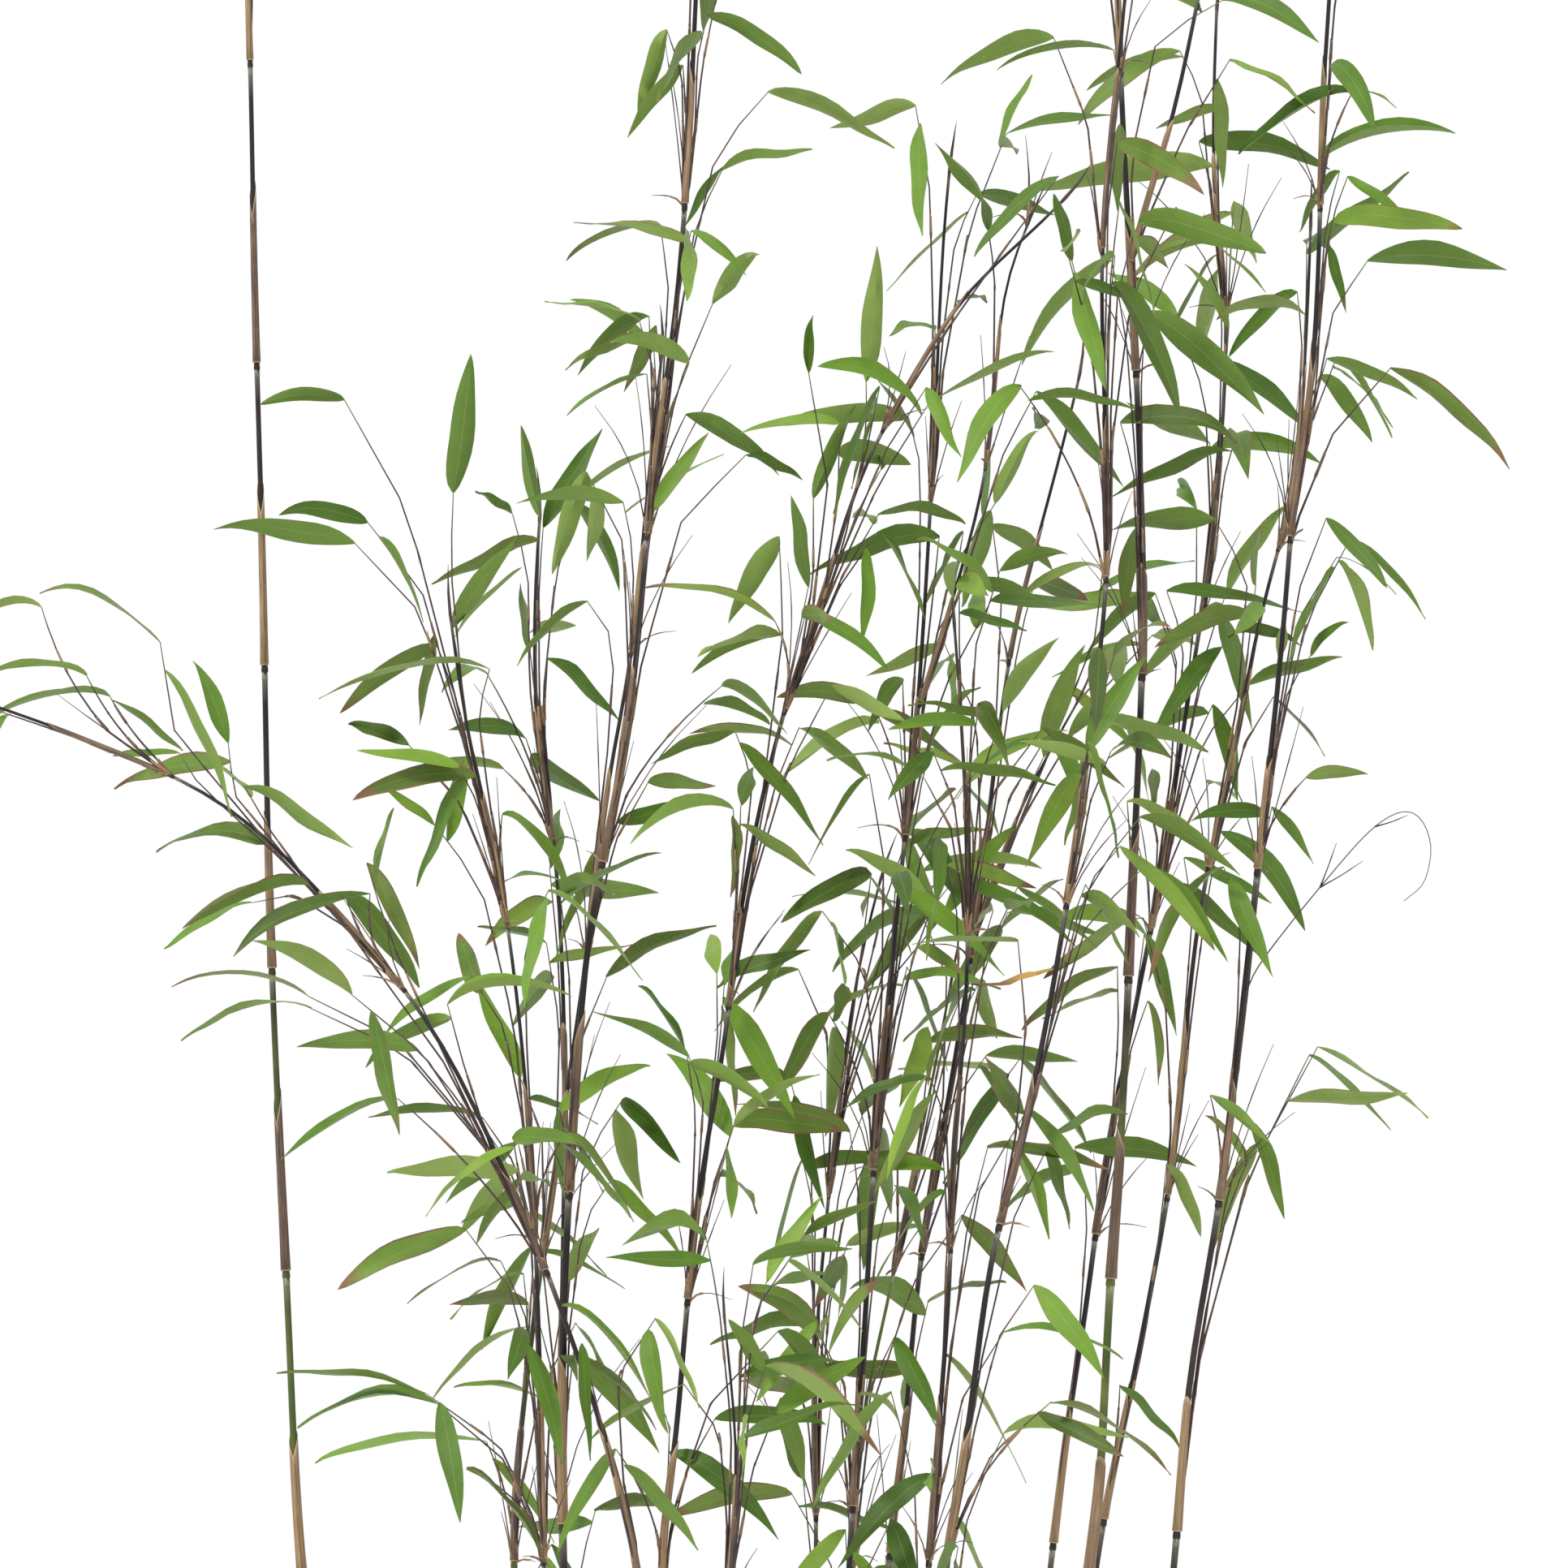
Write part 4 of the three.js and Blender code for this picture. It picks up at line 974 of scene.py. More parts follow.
# Twigs.
# The branches are thin, hard and purple-brown, with nodes of their own, each in a small dry sheath, and they
# turn green at the end, where the leaf sheaths clasp them. The bare ones have shed their leaves.
TWIG_DRAWS = 8000
TWIG_RINGS = ((0.0, 1.3), (0.04, 1.0), (0.14, 0.96), (0.24, 0.93), (0.33, 0.92), (0.345, 1.25), (0.36, 0.94),
              (0.46, 0.92), (0.56, 0.91), (0.66, 0.9), (0.675, 1.25), (0.69, 0.91), (0.79, 0.9), (0.9, 0.85),
              (1.0, 0.7))
TWIG_SIDES, TWIG_RADII, BARE_RADII = 4, (0.85, 0.45), (0.5, 0.24)
TWIG_NODES = (0.02, 0.345, 0.675)
TWIG_SHEATH, TWIG_SHEATH_SHARE, TWIG_SHEATH_THICKNESS, TWIG_SHEATH_AGE = (9.0, 17.0), 0.7, 0.12, 0.3
RIPE, HALF_RIPE, YOUNG = 1.0, 0.7, 0.9
# A twig leaves its cane at the node below and hugs it, a little way off, up to where it turns out.
TWIG_HUG, TWIG_STAND = 1.5, 3.0
NODE_SLACK, SHORT_CLIMB = 4, 20
BEND_POINTS, CLIMB_STEPS = 9, 4

# A ripe twig has a hard, smooth bark with little wax. It gives the eye a dull purple-brown stick with lighter
# patches about 11 mm long, and fresh green at its leafy end.
TWIG_PATCH = 11.1

twig_material, shader = new_material("purple_brown_twig")
place = add_node(twig_material, "ShaderNodeTexCoord", out="Object")
mottle = add_node(twig_material, "ShaderNodeTexNoise",
                  {"Vector": place, "Scale": per_metre(TWIG_PATCH), "Detail": 3.0})
share = add_node(twig_material, "ShaderNodeAttribute", out="Fac", attribute_name="share")
bark = add_node(twig_material, "ShaderNodeValToRGB", {"Fac": mottle},
                stops=[(0.3, "#291d1d"), (0.55, "#473531"), (0.8, "#715a49")])
fresh = add_node(twig_material, "ShaderNodeMapRange", {0: share, 1: 0.9, 2: 1.0})
body = add_node(twig_material, "ShaderNodeMix", {0: fresh, 6: bark, 7: linear("#66753a")}, 2,
                data_type="RGBA")
plug(shader, {"Base Color": body, "Roughness": 0.5})

leafy_twig = turn_master(TWIG_SIDES, TWIG_RINGS, closed=True)
bare_twig = turn_master(TWIG_SIDES, TWIG_RINGS[::2], closed=True)
twig_sheet = sheet_master(columns=6, rows=3)


def from_node(culm, twig):
    """The line of a twig, which leaves the cane at the node below and hugs it up to where it turns out."""
    foot, elbow, end = twig
    stem = min(culm["stems"], key=lambda stem: np.linalg.norm(stem.at(foot[2]) - foot))
    nodes = [ring for ring in stem.rings[::2] if ring[2] < foot[2] + NODE_SLACK]
    away = (end - foot) * (1, 1, 0)
    away = away / max(1e-6, float(np.linalg.norm(away)))
    bent = [bend(foot, elbow, end, t) for t in np.linspace(0, 1, BEND_POINTS)]
    start = at_height(stem.line, nodes[-1][2]) if nodes else at_height(stem.line, foot[2])
    if foot[2] - start[2] < SHORT_CLIMB:
        return np.array([start] + bent[2:])
    climb = [start + away * TWIG_HUG]
    for share in (0.25, 0.5, 0.75):
        z = start[2] + (foot[2] - start[2]) * share
        climb.append(at_height(stem.line, z) + away * (TWIG_HUG + TWIG_STAND * share))
    return smooth_line(np.array([start] + climb + bent[2::2]), CLIMB_STEPS)


def lay_rod(batch, master, line, radii, side=ACROSS, **values):
    """Lays a closed master along a line, its radius running from the first to the second value."""
    points, faces = master
    rail = guide(even_line(line), side)
    radius = part_way(radii, points[:, 2])
    laid = lay(points[:, 2], points[:, 0] * radius, points[:, 1] * radius, rail)
    run = points[:, 2] * run_lengths(rail[0])[-1]
    batch.add(laid, faces, np.column_stack([np.arctan2(points[:, 1], points[:, 0]) * radius, run]), **values)
    return rail


def add_twig(batch, master, line, radii, ripe):
    """Lays a twig along its line, as ripe at its end as ripe says, and returns its guide and its length."""
    return lay_rod(batch, master, line, radii, share=master[0][:, 2] * ripe), run_lengths(line)[-1]


# A culm ends in a rolled-up spear of young leaf sheaths, and one bare twig has curled over as it dried.
SPEAR_LENGTH, SPEAR_SUNK, SPEAR_LEAN, SPEAR_WIDTH = 32.0, 4, (-6, 6), 1.1
SPEAR_SIDES, SPEAR_RINGS = 6, ((0, 1.0), (0.15, 1.25), (0.5, 0.95), (0.85, 0.4), (1, 0.08))
CURLED_CULM, CURLED_FOOT, CURLED_DEPTH = "culm_17", 752.0, 46.0
CURLED_ROUTE = ((292, 775), (327, 820), (360, 857), (382, 866), (393, 848), (389, 824), (376, 812))
CURLED_SIDES, CURLED_RINGS, CURLED_STEPS, SPUR_CURVE = 5, 44, 48, 3
CURLED_SPURS = ((2, (26, 13)), (2, (10, 24)), (3, (20, 4)))
curled_rings = [(i / CURLED_RINGS, 1.0) for i in range(CURLED_RINGS + 1)]
curled_twig = turn_master(CURLED_SIDES, curled_rings, closed=True)
spear = turn_master(SPEAR_SIDES, SPEAR_RINGS, closed=True)

for owner, culm in enumerate(CULMS):
    draw = make_draw(SEED * TWIG_DRAWS + owner)
    twigs = Batch("share")
    bracts = Batch("tone", "share")
    for spray in culm["sprays"]:
        rail, length = add_twig(twigs, leafy_twig, from_node(culm, spray["twig"]), TWIG_RADII, RIPE)
        for node in TWIG_NODES:
            if draw() > TWIG_SHEATH_SHARE:
                continue
            top = min(1.0, node + between(draw, *TWIG_SHEATH) / length)
            lap, tone = draw() * ALL_ROUND, TWIG_SHEATH_AGE + draw()
            wrap_sheath(bracts, twig_sheet, rail, node, top, part_way(TWIG_RADII, node), lap, tone)
    for twig in culm["fans"]:
        rail, length = add_twig(twigs, bare_twig, from_node(culm, twig), BARE_RADII, HALF_RIPE)
        top = min(1.0, TWIG_NODES[0] + between(draw, *TWIG_SHEATH) / length)
        wrap_sheath(bracts, twig_sheet, rail, TWIG_NODES[0], top, BARE_RADII[0], draw() * ALL_ROUND, draw())
    for index, stem in enumerate(culm["stems"]):
        top, way = stem.line[-1], unit(stem.line[-1] - stem.line[-4])
        lean = np.array([between(draw, *SPEAR_LEAN), between(draw, *SPEAR_LEAN), 0])
        foot, end = top - way * SPEAR_SUNK, top + way * SPEAR_LENGTH + lean
        middle = top + way * SPEAR_LENGTH / 2
        line = np.array([bend(foot, middle, end, t) for t in np.linspace(0, 1, BEND_POINTS)])
        radius = stem_radii(culm, index)[1] * SPEAR_WIDTH
        lay_rod(twigs, spear, line, (radius, radius), share=YOUNG)
    if culm["name"] == CURLED_CULM:
        line = [at_height(culm["stems"][0].line, CURLED_FOOT)]
        for i, (x, z) in enumerate(CURLED_ROUTE):
            line.append(np.array([x, line[0][1] - CURLED_DEPTH * (i + 1) / len(CURLED_ROUTE), z]))
        add_twig(twigs, curled_twig, smooth_line(np.array(line), CURLED_STEPS), BARE_RADII, HALF_RIPE)
        for i, (across, rise) in CURLED_SPURS:
            way = np.array([across, 0, rise])
            spur = [line[i] + way * t + UP * (SPUR_CURVE * t * t) for t in (0, 0.5, 1)]
            add_twig(twigs, bare_twig, np.array(spur), BARE_RADII, HALF_RIPE)
    hand_in(twigs.make(culm["name"] + "_twigs", twig_material, smooth_angle=60), culm["name"])
    small = bracts.make(culm["name"] + "_twig_sheaths", sheath_material, smooth_angle=60)
    thicken(small, TWIG_SHEATH_THICKNESS)
    hand_in(small, culm["name"])


# Leaves.
# Each leaf is a thin lance-shaped blade on a short stalk: widest a third of the way along and drawn out to a
# fine point, with a pale midrib and close parallel veins. It droops, twists, folds and waves a little.
LEAF_DRAWS = 9000
LEAF_THICKNESS, LEAF_SIDES, LEAF_ROWS, LEAF_POINTS = 0.5, 4, 12, 17
LEAF_STALK, LEAF_TIP = 0.1, 0.02
LEAF_WIDER, LEAF_FULLER = (0.84, 1.08), (0.62, 1.15)
LEAF_FOLD, LEAF_TWIST, UNTWISTED_PLACE = (0.05, 0.5), (-0.9, 0.9), 0.35
ROLLED_SHARE, ROLLED_FOLD, FOLD_NARROWS = 0.08, 0.95, 0.6
LEAF_WAVE, LEAF_WAVES = (0.0, 1.3), 11
MARGIN_WAVE, MARGIN_WAVES = 0.1, 8
LEAF_ARCH_KEPT, LEAF_SWAY = (0.1, 1.0), (-0.09, 0.09)
LEAF_DROOP, DROOP_CURVE = (-0.1, 0.16), 2.6
TIP_HOOK, HOOK_CURVE = (0.0, 0.12), 6
# The shoulder's curve is highest a quarter of the way along, and the gain makes it 1 there.
LEAF_SHOULDER, SHOULDER_GAIN = (-0.01, 0.05), 9.5
# Outer leaves above a height are turned about their rib by up to the first angle, to show much of their
# face, and those in FACE_ON by up to the second. Those in EDGE_ON show on edge instead, at any height. Both
# tables name them by their place in "reach".
FRONT_TURN, FULL_TURN, FRONT_FROM, TURNS_TRIED = 0.6, 1.3, 600.0, 13
EDGE_ON = {"culm_02": (4, 12, 13, 14), "culm_03": (1, 2), "culm_05": (6, 7, 9), "culm_15": (0,),
           "culm_06": (0, 2, 3, 4, 6, 7, 10, 11, 13), "culm_17": (0, 1, 9, 13, 14), "culm_18": (3, 4)}
FACE_ON = {"culm_02": (0, 1, 2), "culm_03": (0,), "culm_04": (1, 2), "culm_06": (1,), "culm_07": (0, 1),
           "culm_13": (0,), "culm_17": (6, 11), "culm_18": (6,)}
# How dry a leaf is: browned at edges and tip from about 0.7, and dead from 2. One leaf has died and yellowed.
DRYNESS, DRYNESS_CURVE, DEAD_DRYNESS = (0.3, 1.0), 1.8, 2.4
DEAD_CULM, DEAD_FOOT, DEAD_TIP = "culm_14", 772, (108, 22, 760)
DEAD_ARCH, DEAD_ROLL, DEAD_NARROWER = -0.16, 0.9, 0.4

# A bamboo leaf is thin, tough and dull, with straight veins. It gives the eye a mid-green upper face and a
# greyer lower one, in tones that drift from leaf to leaf, a pale rib, and brown on dry edges and tips.
# The veins lie 0.3 mm apart on the plant. They are drawn three times as coarse, to show. A leaf's tone drifts
# over 18 mm, and tired patches come every 38 mm.
VEIN_SPACING, LEAF_CLOUD, LEAF_PATCH = 0.9, 18.2, 38.5

leaf_material, shader = new_material("bamboo_leaf")
place, flat_place = (add_node(leaf_material, "ShaderNodeTexCoord", out=kind) for kind in ("Object", "UV"))
tone, under, share, edge, dry = (
    add_node(leaf_material, "ShaderNodeAttribute", out="Fac", attribute_name=name)
    for name in ("tone", "under", "share", "edge", "dry"))
across = add_node(leaf_material, "ShaderNodeSeparateXYZ", {"Vector": flat_place}, "X")
vein_turn = 2 * math.pi * per_metre(VEIN_SPACING)
vein = add_node(leaf_material, "ShaderNodeMath", {0: across, 1: vein_turn}, operation="MULTIPLY")
vein = add_node(leaf_material, "ShaderNodeMath", {0: vein}, operation="COSINE")
cloud = add_node(leaf_material, "ShaderNodeTexNoise",
                 {"Vector": place, "Scale": per_metre(LEAF_CLOUD), "Detail": 4.0, "Roughness": 0.6})
patch = add_node(leaf_material, "ShaderNodeTexNoise",
                 {"Vector": place, "Scale": per_metre(LEAF_PATCH), "Detail": 2.0})
# The upper and the lower face, each in its leaf's own tone.
mixed = add_node(leaf_material, "ShaderNodeMath", {0: cloud, 1: 0.45}, operation="MULTIPLY")
toned = add_node(leaf_material, "ShaderNodeMath", {0: tone, 1: mixed}, operation="ADD")
shade = add_node(leaf_material, "ShaderNodeMapRange", {0: toned, 1: 0.0, 2: 1.45})
above = add_node(leaf_material, "ShaderNodeValToRGB", {"Fac": shade},
                 stops=[(0.1, "#33500f"), (0.42, "#4b6f18"), (0.7, "#668d26"), (0.93, "#84a13a")])
below = add_node(leaf_material, "ShaderNodeValToRGB", {"Fac": shade},
                 stops=[(0.1, "#4b691f"), (0.5, "#688636"), (0.9, "#879f50")])
side = add_node(leaf_material, "ShaderNodeMath", {0: under, 1: 0.5}, operation="GREATER_THAN")
body = add_node(leaf_material, "ShaderNodeMix", {0: side, 6: above, 7: below}, 2, data_type="RGBA")
# Olive patches on tired leaves, then the veins and the midrib.
tired = add_node(leaf_material, "ShaderNodeMath", {0: patch, 1: dry}, operation="MULTIPLY")
tired = add_node(leaf_material, "ShaderNodeMapRange", {0: tired, 1: 0.2, 2: 0.5, 3: 0.0, 4: 0.36})
ridge = add_node(leaf_material, "ShaderNodeMapRange", {0: vein, 1: 0.2, 2: 1.0, 3: 0.0, 4: 0.07})
rib = add_node(leaf_material, "ShaderNodeMapRange", {0: edge, 1: 0.07, 2: 0.02, 3: 0.0, 4: 0.22})
for amount, colour in ((tired, "#575e2a"), (ridge, "#93b05c"), (rib, "#98aa55")):
    body = add_node(leaf_material, "ShaderNodeMix", {0: amount, 6: body, 7: linear(colour)}, 2,
                    data_type="RGBA")
# Brown from the tip and the edges inward, and straw to brown along a dead leaf.
tip_reach = add_node(leaf_material, "ShaderNodeMapRange", {0: share, 1: 0.72, 2: 1.0, 3: 0.0, 4: 0.75})
edge_reach = add_node(leaf_material, "ShaderNodeMapRange", {0: edge, 1: 0.76, 2: 1.0, 3: 0.0, 4: 0.8})
worn = add_node(leaf_material, "ShaderNodeMath", {0: tip_reach, 1: edge_reach}, operation="MAXIMUM")
worn = add_node(leaf_material, "ShaderNodeMath", {0: worn, 1: cloud}, operation="ADD")
worn = add_node(leaf_material, "ShaderNodeMath", {0: worn, 1: dry}, operation="MULTIPLY")
brown = add_node(leaf_material, "ShaderNodeMapRange", {0: worn, 1: 0.62, 2: 0.9})
dead = add_node(leaf_material, "ShaderNodeMapRange", {0: dry, 1: 1.5, 2: 2.0})
straw = add_node(leaf_material, "ShaderNodeValToRGB", {"Fac": share},
                 stops=[(0.0, "#7d7c3a"), (0.22, "#c9a24c"), (0.38, "#b08a48"), (0.65, "#7d6146"),
                        (1.0, "#6f5648")])
faded = add_node(leaf_material, "ShaderNodeMix", {0: dead, 6: linear("#77593c"), 7: straw}, 2,
                 data_type="RGBA")
body = add_node(leaf_material, "ShaderNodeMix", {0: brown, 6: body, 7: faded}, 2, data_type="RGBA")
relief = add_node(leaf_material, "ShaderNodeBump", {"Height": vein, "Strength": 0.22, "Distance": 0.15 * MM})
plug(shader, {"Base Color": body, "Normal": relief, "Roughness": 0.5, "Specular IOR Level": 0.3})


def split_alike(points, faces):
    """Splits each quad from its lower edge to its upper rib, so that a leaf's two thin faces never cross."""
    split = []
    for face in faces:
        start = min(range(4), key=lambda i: (round(points[face[i]][2], 4), -abs(points[face[i]][0])))
        a, b, c, d = face[start:] + face[:start]
        split += [(a, b, c), (a, c, d)]
    return split


# The rows of a leaf lie closer at its two ends.
leaf_rings = [(0.5 * t + 0.25 - 0.25 * math.cos(math.pi * t), 1.0) for t in np.linspace(0, 1, LEAF_ROWS + 1)]
leaf_points, leaf_faces = turn_master(LEAF_SIDES, leaf_rings, closed=True)
leaf_faces = split_alike(leaf_points, leaf_faces)
leaf_shape = np.array([lance(t) for t in np.clip(leaf_points[:, 2], 0, 1)])


def seen_flat(name, blade):
    """A leaf's width direction. An outer leaf is turned about its rib, to show what the front view shows."""
    place = blade.get("outer")
    on_edge = place in EDGE_ON.get(name, ())
    if place is None or (blade["base"][2] < FRONT_FROM and not on_edge):
        return blade["flat"]
    most = FULL_TURN if place in FACE_ON.get(name, ()) else FRONT_TURN
    rib = unit(blade["tip"] - blade["base"])
    ways = [turn_about(blade["flat"], rib, turn) for turn in np.linspace(-most, most, TURNS_TRIED)]
    depth = [abs(way[1]) for way in ways]
    return ways[depth.index(max(depth) if on_edge else min(depth))]


def lay_leaf(batch, blade, flat, draw, dead=False):
    """Lays one leaf along its blade's arch, folded, twisted and waved by its own draws."""
    fold, twist = between(draw, *LEAF_FOLD), between(draw, *LEAF_TWIST)
    wave, phase = between(draw, *LEAF_WAVE), draw() * ALL_ROUND
    droop, sway = between(draw, *LEAF_DROOP), between(draw, *LEAF_SWAY)
    tone, dryness = draw(), draw()
    wider, shoulder = between(draw, *LEAF_WIDER), between(draw, *LEAF_SHOULDER)
    fuller = between(draw, *LEAF_FULLER)
    hook = between(draw, *TIP_HOOK) * draw()
    dry = part_way(DRYNESS, dryness**DRYNESS_CURVE)
    if dead or draw() < ROLLED_SHARE:
        fold = ROLLED_FOLD
    if dead:
        twist, dry = 2 * math.pi, DEAD_DRYNESS
    length = float(np.linalg.norm(blade["tip"] - blade["base"]))
    halfway = (blade["base"] + blade["tip"]) / 2
    middle = halfway + (blade["middle"] - halfway) * between(draw, *LEAF_ARCH_KEPT)
    line = []
    for t in np.linspace(0, 1, LEAF_POINTS):
        point = bend(blade["base"], middle, blade["tip"], t)
        rise = shoulder * SHOULDER_GAIN * t * (1 - t) ** 3 - droop * t**DROOP_CURVE - hook * t**HOOK_CURVE
        line.append(point + UP * (rise * length) + flat * (sway * length * t**2))
    rail = guide(even_line(np.array(line)), -flat)
    side, face, share = leaf_points.T
    half = np.where(share > 0.999, LEAF_TIP, np.clip(leaf_shape**fuller, LEAF_STALK, 1.0))
    half = blade["half"] * wider * half * (1 + MARGIN_WAVE * side * np.sin(share * MARGIN_WAVES + phase))
    lift = fold * np.abs(side) * half + wave * np.sin(share * LEAF_WAVES + phase) * side**2
    lift = lift + face * LEAF_THICKNESS / 2
    spread = side * half * math.cos(fold * FOLD_NARROWS)
    angle = twist * (share - UNTWISTED_PLACE)
    x = spread * np.cos(angle) - lift * np.sin(angle)
    y = spread * np.sin(angle) + lift * np.cos(angle)
    batch.add(lay(share, x, y, rail), leaf_faces, np.column_stack([side * half, share * length]), tone=tone,
              under=0.5 - 0.5 * face, share=share, edge=np.abs(side), dry=dry)


for owner, culm in enumerate(CULMS):
    draw = make_draw(SEED * LEAF_DRAWS + owner)
    batch = Batch("tone", "under", "share", "edge", "dry")
    for spray in culm["sprays"]:
        for blade in spray["blades"]:
            lay_leaf(batch, blade, seen_flat(culm["name"], blade), draw)
    if culm["name"] == DEAD_CULM:
        base = at_height(culm["stems"][0].line, DEAD_FOOT)
        tip = np.array([DEAD_TIP[0], base[1] - DEAD_TIP[1], DEAD_TIP[2]])
        blade = make_blade(base, tip, DEAD_ARCH, DEAD_ROLL)
        blade["half"] *= DEAD_NARROWER
        lay_leaf(batch, blade, blade["flat"], draw, dead=True)
    hand_in(batch.make(culm["name"] + "_leaves", leaf_material, smooth_angle=60), culm["name"])


# Rhizome crown, core.
# The rhizomes of a clumping bamboo grow through one another over the years until they hold a dense core of
# old wood, root felt and packed soil. It was lifted and trimmed flat below with a spade.
CORE_SIZE = (224, 98, 39)
CORE_CENTRE = (-32, 0, 15)
CORE_VOXEL = 3.2
CLOD_SIZE, CLOD_DEPTH = 16, 11

# Root felt with packed soil is matt and crumbly. It gives the eye tan and brown fibres, in tufts about 6 mm
# wide, over near-black soil.
FELT_TUFT = 6.25

core_material, shader = new_material("root_felt_and_soil")
place = add_node(core_material, "ShaderNodeTexCoord", out="Object")
felt = add_node(core_material, "ShaderNodeTexNoise",
                {"Vector": place, "Scale": per_metre(FELT_TUFT), "Detail": 6.0, "Roughness": 0.7,
                 "Distortion": 1.4})
body = add_node(core_material, "ShaderNodeValToRGB", {"Fac": felt},
                stops=[(0.32, "#1f150e"), (0.5, "#3f2c1c"), (0.62, "#6a4f33"), (0.74, "#8d7049")])
relief = add_node(core_material, "ShaderNodeBump", {"Height": felt, "Strength": 0.9, "Distance": 2 * MM})
plug(shader, {"Base Color": body, "Normal": relief, "Roughness": 0.95})


def trim_flat(piece):
    """Cuts a piece at the floor, as the spade did, and closes the cut."""
    pick(piece)
    bpy.ops.object.mode_set(mode="EDIT")
    bpy.ops.mesh.select_all(action="SELECT")
    bpy.ops.mesh.bisect(plane_co=(0, 0, 0), plane_no=(0, 0, 1), use_fill=True, clear_inner=True)
    bpy.ops.object.mode_set(mode="OBJECT")


start_clean()
bpy.ops.mesh.primitive_uv_sphere_add(segments=48, ring_count=24, location=(0, 0, 0))
core_points, core_faces = take_master()
core_points = core_points * CORE_SIZE + CORE_CENTRE
lump = Batch()
lump.add(core_points, core_faces, core_points[:, :2])
core = lump.make("rhizome_crown_core", core_material)
remesh = core.modifiers.new("dense", "REMESH")
remesh.mode = "VOXEL"
remesh.voxel_size = CORE_VOXEL * MM
clods = bpy.data.textures.new("clods", "CLOUDS")
clods.noise_scale = CLOD_SIZE * MM
clods.noise_depth = 3
roughen = core.modifiers.new("clods", "DISPLACE")
roughen.texture = clods
roughen.strength = CLOD_DEPTH * MM
roughen.mid_level = 0.6
bpy.ops.object.modifier_apply(modifier="dense")
bpy.ops.object.modifier_apply(modifier="clods")
trim_flat(core)
bpy.ops.object.shade_smooth_by_angle(angle=math.radians(60))
hand_in(core, "rhizome_crown")


# Rhizomes and culm bases.
# Each rhizome is a short, thick, woody horn with close rings, where its scale leaves sat. It turns up at its
# end into the swollen base of a culm. Sawn stubs are what is left of culms cut in earlier years.
RHIZOME_DRAWS = 3100
CROWN_HEIGHT = 62.0
RHIZOME_COUNT, RHIZOME_SPREAD = 96, 0.97
# The rings come a little unevenly. Each is a narrow step in the outline, by its rise, its width and how dark
# the scar on it is.
RHIZOME_RINGS, RINGS_FROM, RINGS_SPAN, RING_SHIFT, RING_TURN = 12, 0.02, 0.95, 0.22, 2.4
RING_STEP = ((0, 0.95, 1.0), (0.012, 1.03, 0.4), (0.036, 1.0, 0.0))
ROD_SIDES, ROD_FOOT, ROD_END = 12, [(0.0, 0.45), (0.012, 0.78)], [(0.985, 0.82), (1.0, 0.5)]
RHIZOME_LENGTH, RHIZOME_RADIUS, RHIZOME_TAPER = (48, 96), (7.0, 11.0), (0.6, 0.9)
# A rhizome is bowed up and sunk into the core, both as shares of its radius and then by a fixed depth.
RHIZOME_RISE, RHIZOME_BOW, RHIZOME_SUNK = 0.35, 0.9, 2
FLOOR_NEAR, FLOOR_LIFT = 0.6, 0.5
# A culm's swollen base, by the culm's own radius.
BASE_RADIUS, BASE_SWELL, BASE_FOOT = 10, 2.2, 1.05
BASE_LINE, BASE_TONE = (6, 14), (0.45, 1.0)
STUB_COUNT, STUB_PLACE, STUB_SUNK = 12, (0.2, 0.85), 18
STUB_LEAN, STUB_RISE, STUB_PROUD = (-8, 8), (26, 44), 4
STUB_RADIUS, STUB_TOP = (8, 11), 4.5
ROD_SIDE = np.array([0.3, 1.0, 0.1])

# Rhizome wood is hard and dull, and was washed but not scrubbed. It gives the eye straw to brown wood with
# fine lines along it, dark scars in rings, and soil left in patches about 22 mm wide.
# The grain is 0.3 mm wide on the plant. It is drawn nearly four times as coarse, to show.
GRAIN_WIDTH, GRAIN_LENGTH, SOIL_PATCH = 1.11, 8.33, 22.2

rhizome_material, shader = new_material("ringed_rhizome_wood")
place, flat_place = (add_node(rhizome_material, "ShaderNodeTexCoord", out=kind) for kind in ("Object", "UV"))
ring, tone = (add_node(rhizome_material, "ShaderNodeAttribute", out="Fac", attribute_name=name)
              for name in ("ring", "tone"))
grain_scale = (per_metre(GRAIN_WIDTH), per_metre(GRAIN_LENGTH), 1)
grain_place = add_node(rhizome_material, "ShaderNodeMapping", {"Vector": flat_place, "Scale": grain_scale})
grain = add_node(rhizome_material, "ShaderNodeTexNoise", {"Vector": grain_place, "Scale": 1.0, "Detail": 4.0})
dirt = add_node(rhizome_material, "ShaderNodeTexNoise",
                {"Vector": place, "Scale": per_metre(SOIL_PATCH), "Detail": 6.0, "Roughness": 0.65})
body = add_node(rhizome_material, "ShaderNodeValToRGB", {"Fac": tone},
                stops=[(0.0, "#6d4f30"), (0.4, "#94744a"), (0.8, "#b2955f"), (1.0, "#c4ab76")])
lines = add_node(rhizome_material, "ShaderNodeMapRange", {0: grain, 1: 0.45, 2: 0.7, 3: 0.0, 4: 0.45})
scar = add_node(rhizome_material, "ShaderNodeMapRange", {0: ring, 1: 0.65, 2: 1.0, 3: 0.0, 4: 0.8})
soiled = add_node(rhizome_material, "ShaderNodeMapRange", {0: dirt, 1: 0.5, 2: 0.66, 3: 0.0, 4: 0.8})
for amount, colour in ((lines, "#5a4027"), (scar, "#38261a"), (soiled, "#4b3523")):
    body = add_node(rhizome_material, "ShaderNodeMix", {0: amount, 6: body, 7: linear(colour)}, 2,
                    data_type="RGBA")
height = add_node(rhizome_material, "ShaderNodeMath", {0: grain, 1: dirt}, operation="ADD")
